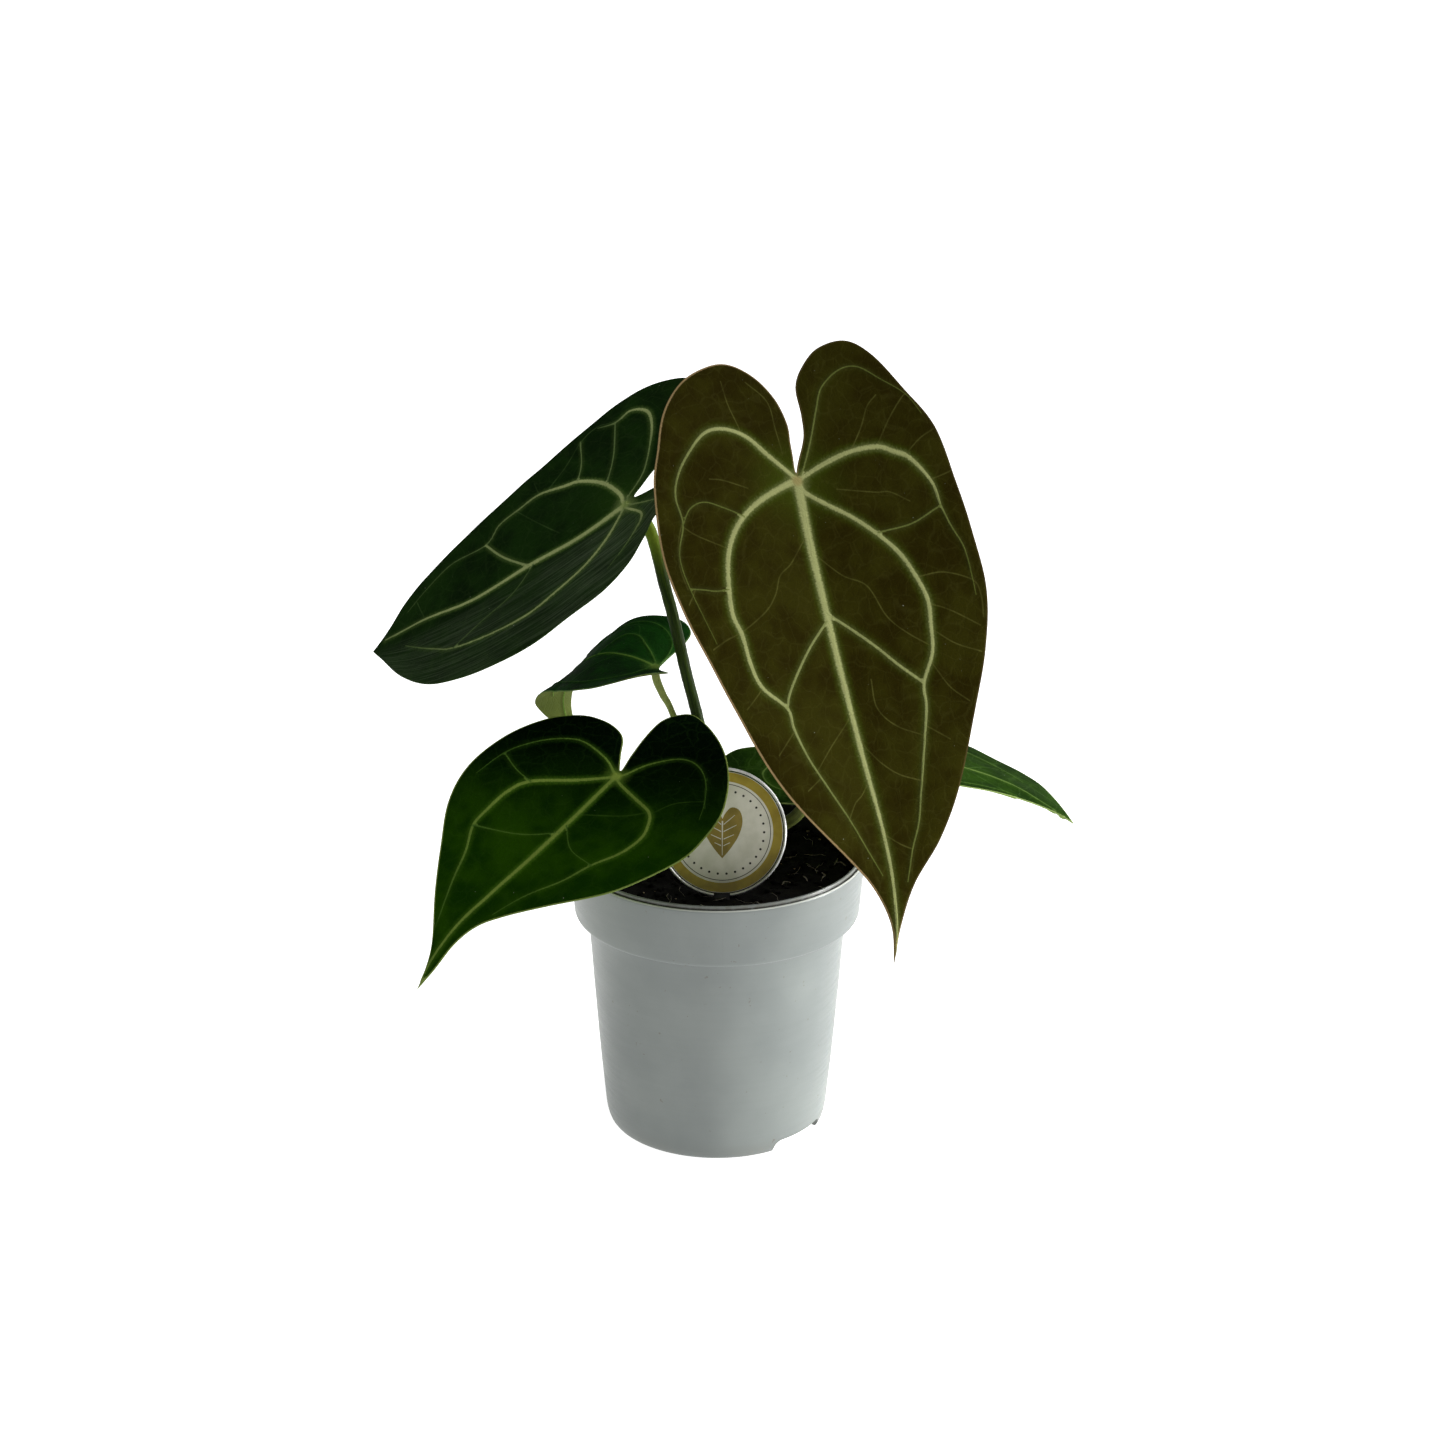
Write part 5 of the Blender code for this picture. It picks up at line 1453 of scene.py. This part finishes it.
def petiole_finish(name, base, shade, tip_colour, foot_colour):
    """A smooth stalk with fine lengthwise fibres, changing colour towards both ends."""
    made = Finish(name, Specular_IOR_Level=0.06)
    flat = made.read("flat", "Vector")
    fibres = made.cloud(made.stretched(flat, (1.6, 1.6, 0.08)), 1.0, 4.0, 0.65)
    spots = made.cloud(flat, 0.9, 3.0)
    colour = made.mix(made.step(fibres, 0.35, 0.65), base, shade)
    colour = made.mix(made.step(made.read("tip"), 34.0, 4.0), colour, tip_colour)
    colour = made.mix(made.step(made.read("foot"), 34.0, 8.0), colour, foot_colour)
    colour = made.shade(colour, spots, 0.85, 1.15)
    return made.close(colour, made.step(spots, 0.3, 0.7, 0.36, 0.52), fibres, 0.12)


def ground_finish(name, dark, light, fleck, roughness, scale=1.0):
    """Peat, bark or fibre: broken colour at three scales, and rough."""
    made = Finish(name, Specular_IOR_Level=0.08)
    place = made.places()
    coarse = made.cloud(place, 0.35 * scale, 5.0, 0.7)
    fine = made.cloud(place, 2.2 * scale, 5.0, 0.75)
    colour = made.mix(made.step(coarse, 0.38, 0.64), dark, light)
    colour = made.mix(made.step(fine, 0.62, 0.74, 0.0, 0.7), colour, fleck)
    colour = made.shade(colour, fine, 0.7, 1.3)
    return made.close(colour, made.step(coarse, 0.3, 0.7, roughness - 0.12, roughness), fine, 0.5)


def pot_finish():
    """Satin moulded plastic, with faint clouding, a mould seam, scuffs and dust."""
    made = Finish("pot_plastic_look", Specular_IOR_Level=0.45)
    place = made.places()
    cloud = made.cloud(place, 0.03, 4.0)
    rings = made.cloud(made.stretched(place, (0.02, 0.02, 0.5)), 1.0, 3.0, 0.6)
    grain = made.cloud(place, 2.6, 3.0, 0.6)
    colour = made.mix(made.step(cloud, 0.3, 0.7), (112, 118, 116), (121, 127, 124))
    colour = made.shade(colour, rings, 0.985, 1.015)
    radius = made.length(made.vector("MULTIPLY", place, (1.0, 1.0, 0.0)))
    high = made.part(place, "Z")
    across = made.part(place, "X")
    front = made.step(made.part(place, "Y"), 0.0, -5.0)
    seam = made.step(made.apart(across, SEAM_PLACE), 0.32, 0.05)
    seam = made.times(made.times(seam, front), made.step(high, 88.0, 94.0, 0.02, 0.12))
    colour = made.mix(seam, colour, (100, 104, 102))
    scuff = made.cloud(made.stretched(place, (0.05, 0.05, 0.7)), 1.0, 6.0, 0.7, 0.4)
    colour = made.mix(made.step(scuff, 0.69, 0.76, 0.0, 0.35), colour, (112, 115, 111))
    specks = made.cloud(place, 0.42, 2.0, 0.6)
    dirty = made.times(made.step(specks, 0.71, 0.76), 0.55)
    colour = made.mix(dirty, colour, (92, 84, 70))
    low = made.times(made.step(high, 9.0, 1.0), made.step(cloud, 0.35, 0.65, 0.1, 0.35))
    colour = made.mix(low, colour, (98, 95, 86))
    # Painted shade, partly a peat stain: the inner wall above the peat goes near black up to a
    # ragged edge below the lip
    inner_shade_and_stain = made.scaled(made.cloud(place, 0.3, 5.0, 0.7), 9.0, high)
    inner_shade_and_stain = made.times(made.step(inner_shade_and_stain, 123.0, 120.5, 0.0, 0.97), made.step(radius, 57.9, 57.65))
    colour = made.mix(made.times(inner_shade_and_stain, made.step(high, 94.0, 95.0)), colour, (14, 12, 10))
    broken = made.cloud(made.vector("MULTIPLY", place, (1.0, 1.0, 0.3)), 0.4, 4.0, 0.7)
    worn = made.times(made.step(high, 116.8, 117.1), made.step(broken, 0.4, 0.7, 0.35, 0.9))
    colour = made.mix(made.times(worn, made.step(high, 118.3, 117.9, 0.45, 1.0)), colour,
                      (92, 92, 80))
    # Painted shade in the rim's groove, broken up by noise
    groove = made.step(made.apart(radius, GROOVE_RADIUS), 0.35, 0.1)
    groove = made.times(groove, made.step(high, 116.2, 116.5))
    groove = made.times(groove, made.step(high, 117.7, 117.2))
    colour = made.mix(made.times(groove, made.step(broken, 0.3, 0.5, 0.5, 0.95)), colour,
                      (36, 34, 26))
    # Painted highlight: a pale line along the lip's outer top edge
    bright = made.times(made.step(radius, 59.3, 59.5), made.step(high, 116.3, 116.7))
    colour = made.mix(made.times(bright, 0.8), colour, (196, 200, 192))
    height = made.scaled(grain, 0.35, rings)
    return made.close(colour, made.step(made.mathed("ADD", grain, scuff), 0.7, 1.3, 0.3, 0.46),
                      height, 0.05)


def print_finish(name, colour_low, colour_high, roughness):
    """Printed card or plastic with a fine tooth and slight wear."""
    made = Finish(name, Specular_IOR_Level=0.4)
    place = made.places()
    tooth = made.cloud(place, 4.0, 3.0, 0.7)
    wear = made.cloud(place, 0.16, 4.0)
    colour = made.mix(made.step(wear, 0.35, 0.65), colour_low, colour_high)
    colour = made.shade(colour, tooth, 0.95, 1.05)
    return made.close(colour, made.step(wear, 0.3, 0.7, roughness - 0.06, roughness + 0.08), tooth,
                      0.03)


def ring_finish():
    """Bright silver plastic with hairline marks round the ring."""
    made = Finish("silver_look", Metallic=0.45)
    flat = made.read("flat", "Vector")
    hairs = made.cloud(made.stretched(flat, (3.0, 3.0, 0.12)), 1.0, 4.0, 0.7)
    wear = made.cloud(made.places(), 0.3, 3.0)
    colour = made.mix(made.step(wear, 0.3, 0.7), (196, 198, 196), (222, 223, 220))
    return made.close(colour, made.step(hairs, 0.3, 0.7, 0.18, 0.34), hairs, 0.02)


# ---- the scene --------------------------------------------------------------------------------

def add_camera():
    """The camera, at the photograph's view."""
    data = bpy.data.cameras.new("camera")
    data.sensor_width = SENSOR
    data.lens = FOCAL_PIXELS * SENSOR / max(PHOTO_SIZE)
    data.clip_start = 0.05
    data.clip_end = 50
    camera = bpy.data.objects.new("camera", data)
    camera.matrix_world = (Matrix.Translation(CAMERA_PLACE)
                           @ Matrix.Rotation(CAMERA_TILT, 4, "X")
                           @ Matrix.Rotation(CAMERA_ROLL, 4, "Z"))
    bpy.context.scene.collection.objects.link(camera)
    bpy.context.scene.camera = camera


def add_light(name, place, aim, size, power, spread=180):
    """A large soft light that faces a point, its beam so many degrees wide."""
    data = bpy.data.lights.new(name, "AREA")
    data.shape = "DISK"
    data.size = size
    data.energy = power
    data.spread = math.radians(spread)
    light = bpy.data.objects.new(name, data)
    light.location = place
    light.rotation_euler = (Vector(aim) - Vector(place)).to_track_quat("-Z", "Y").to_euler()
    bpy.context.scene.collection.objects.link(light)


def add_studio():
    """A plain pale floor and soft light all round, a little stronger from the right."""
    steps = 24
    side = np.linspace(-6, 6, steps + 1)
    points = [(x, y, -0.0002) for y in side for x in side]
    faces = [(row * (steps + 1) + column, row * (steps + 1) + column + 1,
              (row + 1) * (steps + 1) + column + 1, (row + 1) * (steps + 1) + column)
             for row in range(steps) for column in range(steps)]
    made = Finish("floor_look", Roughness=0.9, Specular_IOR_Level=0.0, Emission_Strength=0.9,
                  Emission_Color=(1, 1, 1, 1))
    cloud = made.cloud(made.places(), 0.002, 2.0)
    floor_look = made.close(made.mix(cloud, (236, 236, 235), (242, 242, 241)))
    floor = add_mesh("floor", points, faces, [floor_look])
    world = bpy.data.worlds.new("studio")
    world.use_nodes = True
    back = world.node_tree.nodes["Background"]
    back.inputs["Color"].default_value = (1.0, 1.0, 1.0, 1.0)
    back.inputs["Strength"].default_value = 0.27
    bpy.context.scene.world = world
    middle = (0.0, 0.0, 0.17)
    add_light("key", (1.5, 0.5, 1.2), middle, 1.0, 26)
    add_light("fill", (-0.5, -1.6, 0.9), middle, 1.4, 1.0)
    add_light("top", (0.1, -0.2, 1.8), middle, 1.2, 6)
    add_light("side", (1.6, -0.15, 0.12), (0.0, 0.0, 0.05), 0.3, 0.3, 12)
    bpy.context.scene.view_settings.view_transform = "Standard"


def main():
    """Builds every piece, then the studio."""
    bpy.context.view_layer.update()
    for name, leaf in LEAVES.items():
        look = PLAIN_LOOK | LOOKS[name]
        add_blade(name, leaf, look, leaf_finish(name + "_look", look))
    low_stalk = ((104, 124, 52), (78, 96, 40), (134, 156, 66), (98, 92, 50))
    stalks = {
        "petiole_1": ((84, 92, 44), (60, 66, 32), (120, 134, 62), (98, 92, 50)),
        "petiole_2": ((44, 60, 14), (24, 38, 8), (116, 136, 38), (80, 80, 44)),
        "petiole_3": ((128, 142, 74), (100, 114, 56), (134, 146, 80), (110, 116, 60)),
        "petiole_4": low_stalk,
        "petiole_5": low_stalk,
    }
    for name, petiole in PETIOLES.items():
        leaf = LEAVES["leaf_" + name[-1]]
        add_petiole(name, petiole, leaf, petiole_finish(name + "_look", *stalks[name]))
    peat = ground_finish("peat_look", (6, 5, 4), (16, 14, 12), (44, 36, 28), 0.95)
    grit = ground_finish("grit_look", (120, 104, 84), (168, 152, 128), (196, 184, 164), 0.9, 2.0)
    fibre = ground_finish("fibre_look", (104, 98, 88), (150, 144, 132), (188, 184, 172), 0.85, 2.0)
    bark = ground_finish("bark_look", (70, 62, 34), (104, 96, 54), (134, 118, 76), 0.8, 1.4)
    paper = ground_finish("paper_look", (96, 74, 44), (140, 112, 72), (170, 146, 104), 0.8, 1.2)
    add_stem(bark, paper)
    add_soil(peat)
    add_crumbs(peat, grit)
    add_fibres(fibre)
    add_pot(pot_finish())
    faces = [print_finish("face_look", (200, 200, 182), (214, 213, 198), 0.5),
             print_finish("gold_look", (146, 128, 34), (164, 146, 48), 0.38),
             print_finish("leaf_print_look", (120, 104, 36), (138, 120, 48), 0.45),
             print_finish("ink_look", (28, 28, 22), (40, 40, 32), 0.5)]
    add_label_face(faces)
    add_label_ring(ring_finish())
    add_label_stake(print_finish("stake_look", (26, 26, 26), (38, 38, 37), 0.5))
    add_camera()
    add_studio()
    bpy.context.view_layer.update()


main()
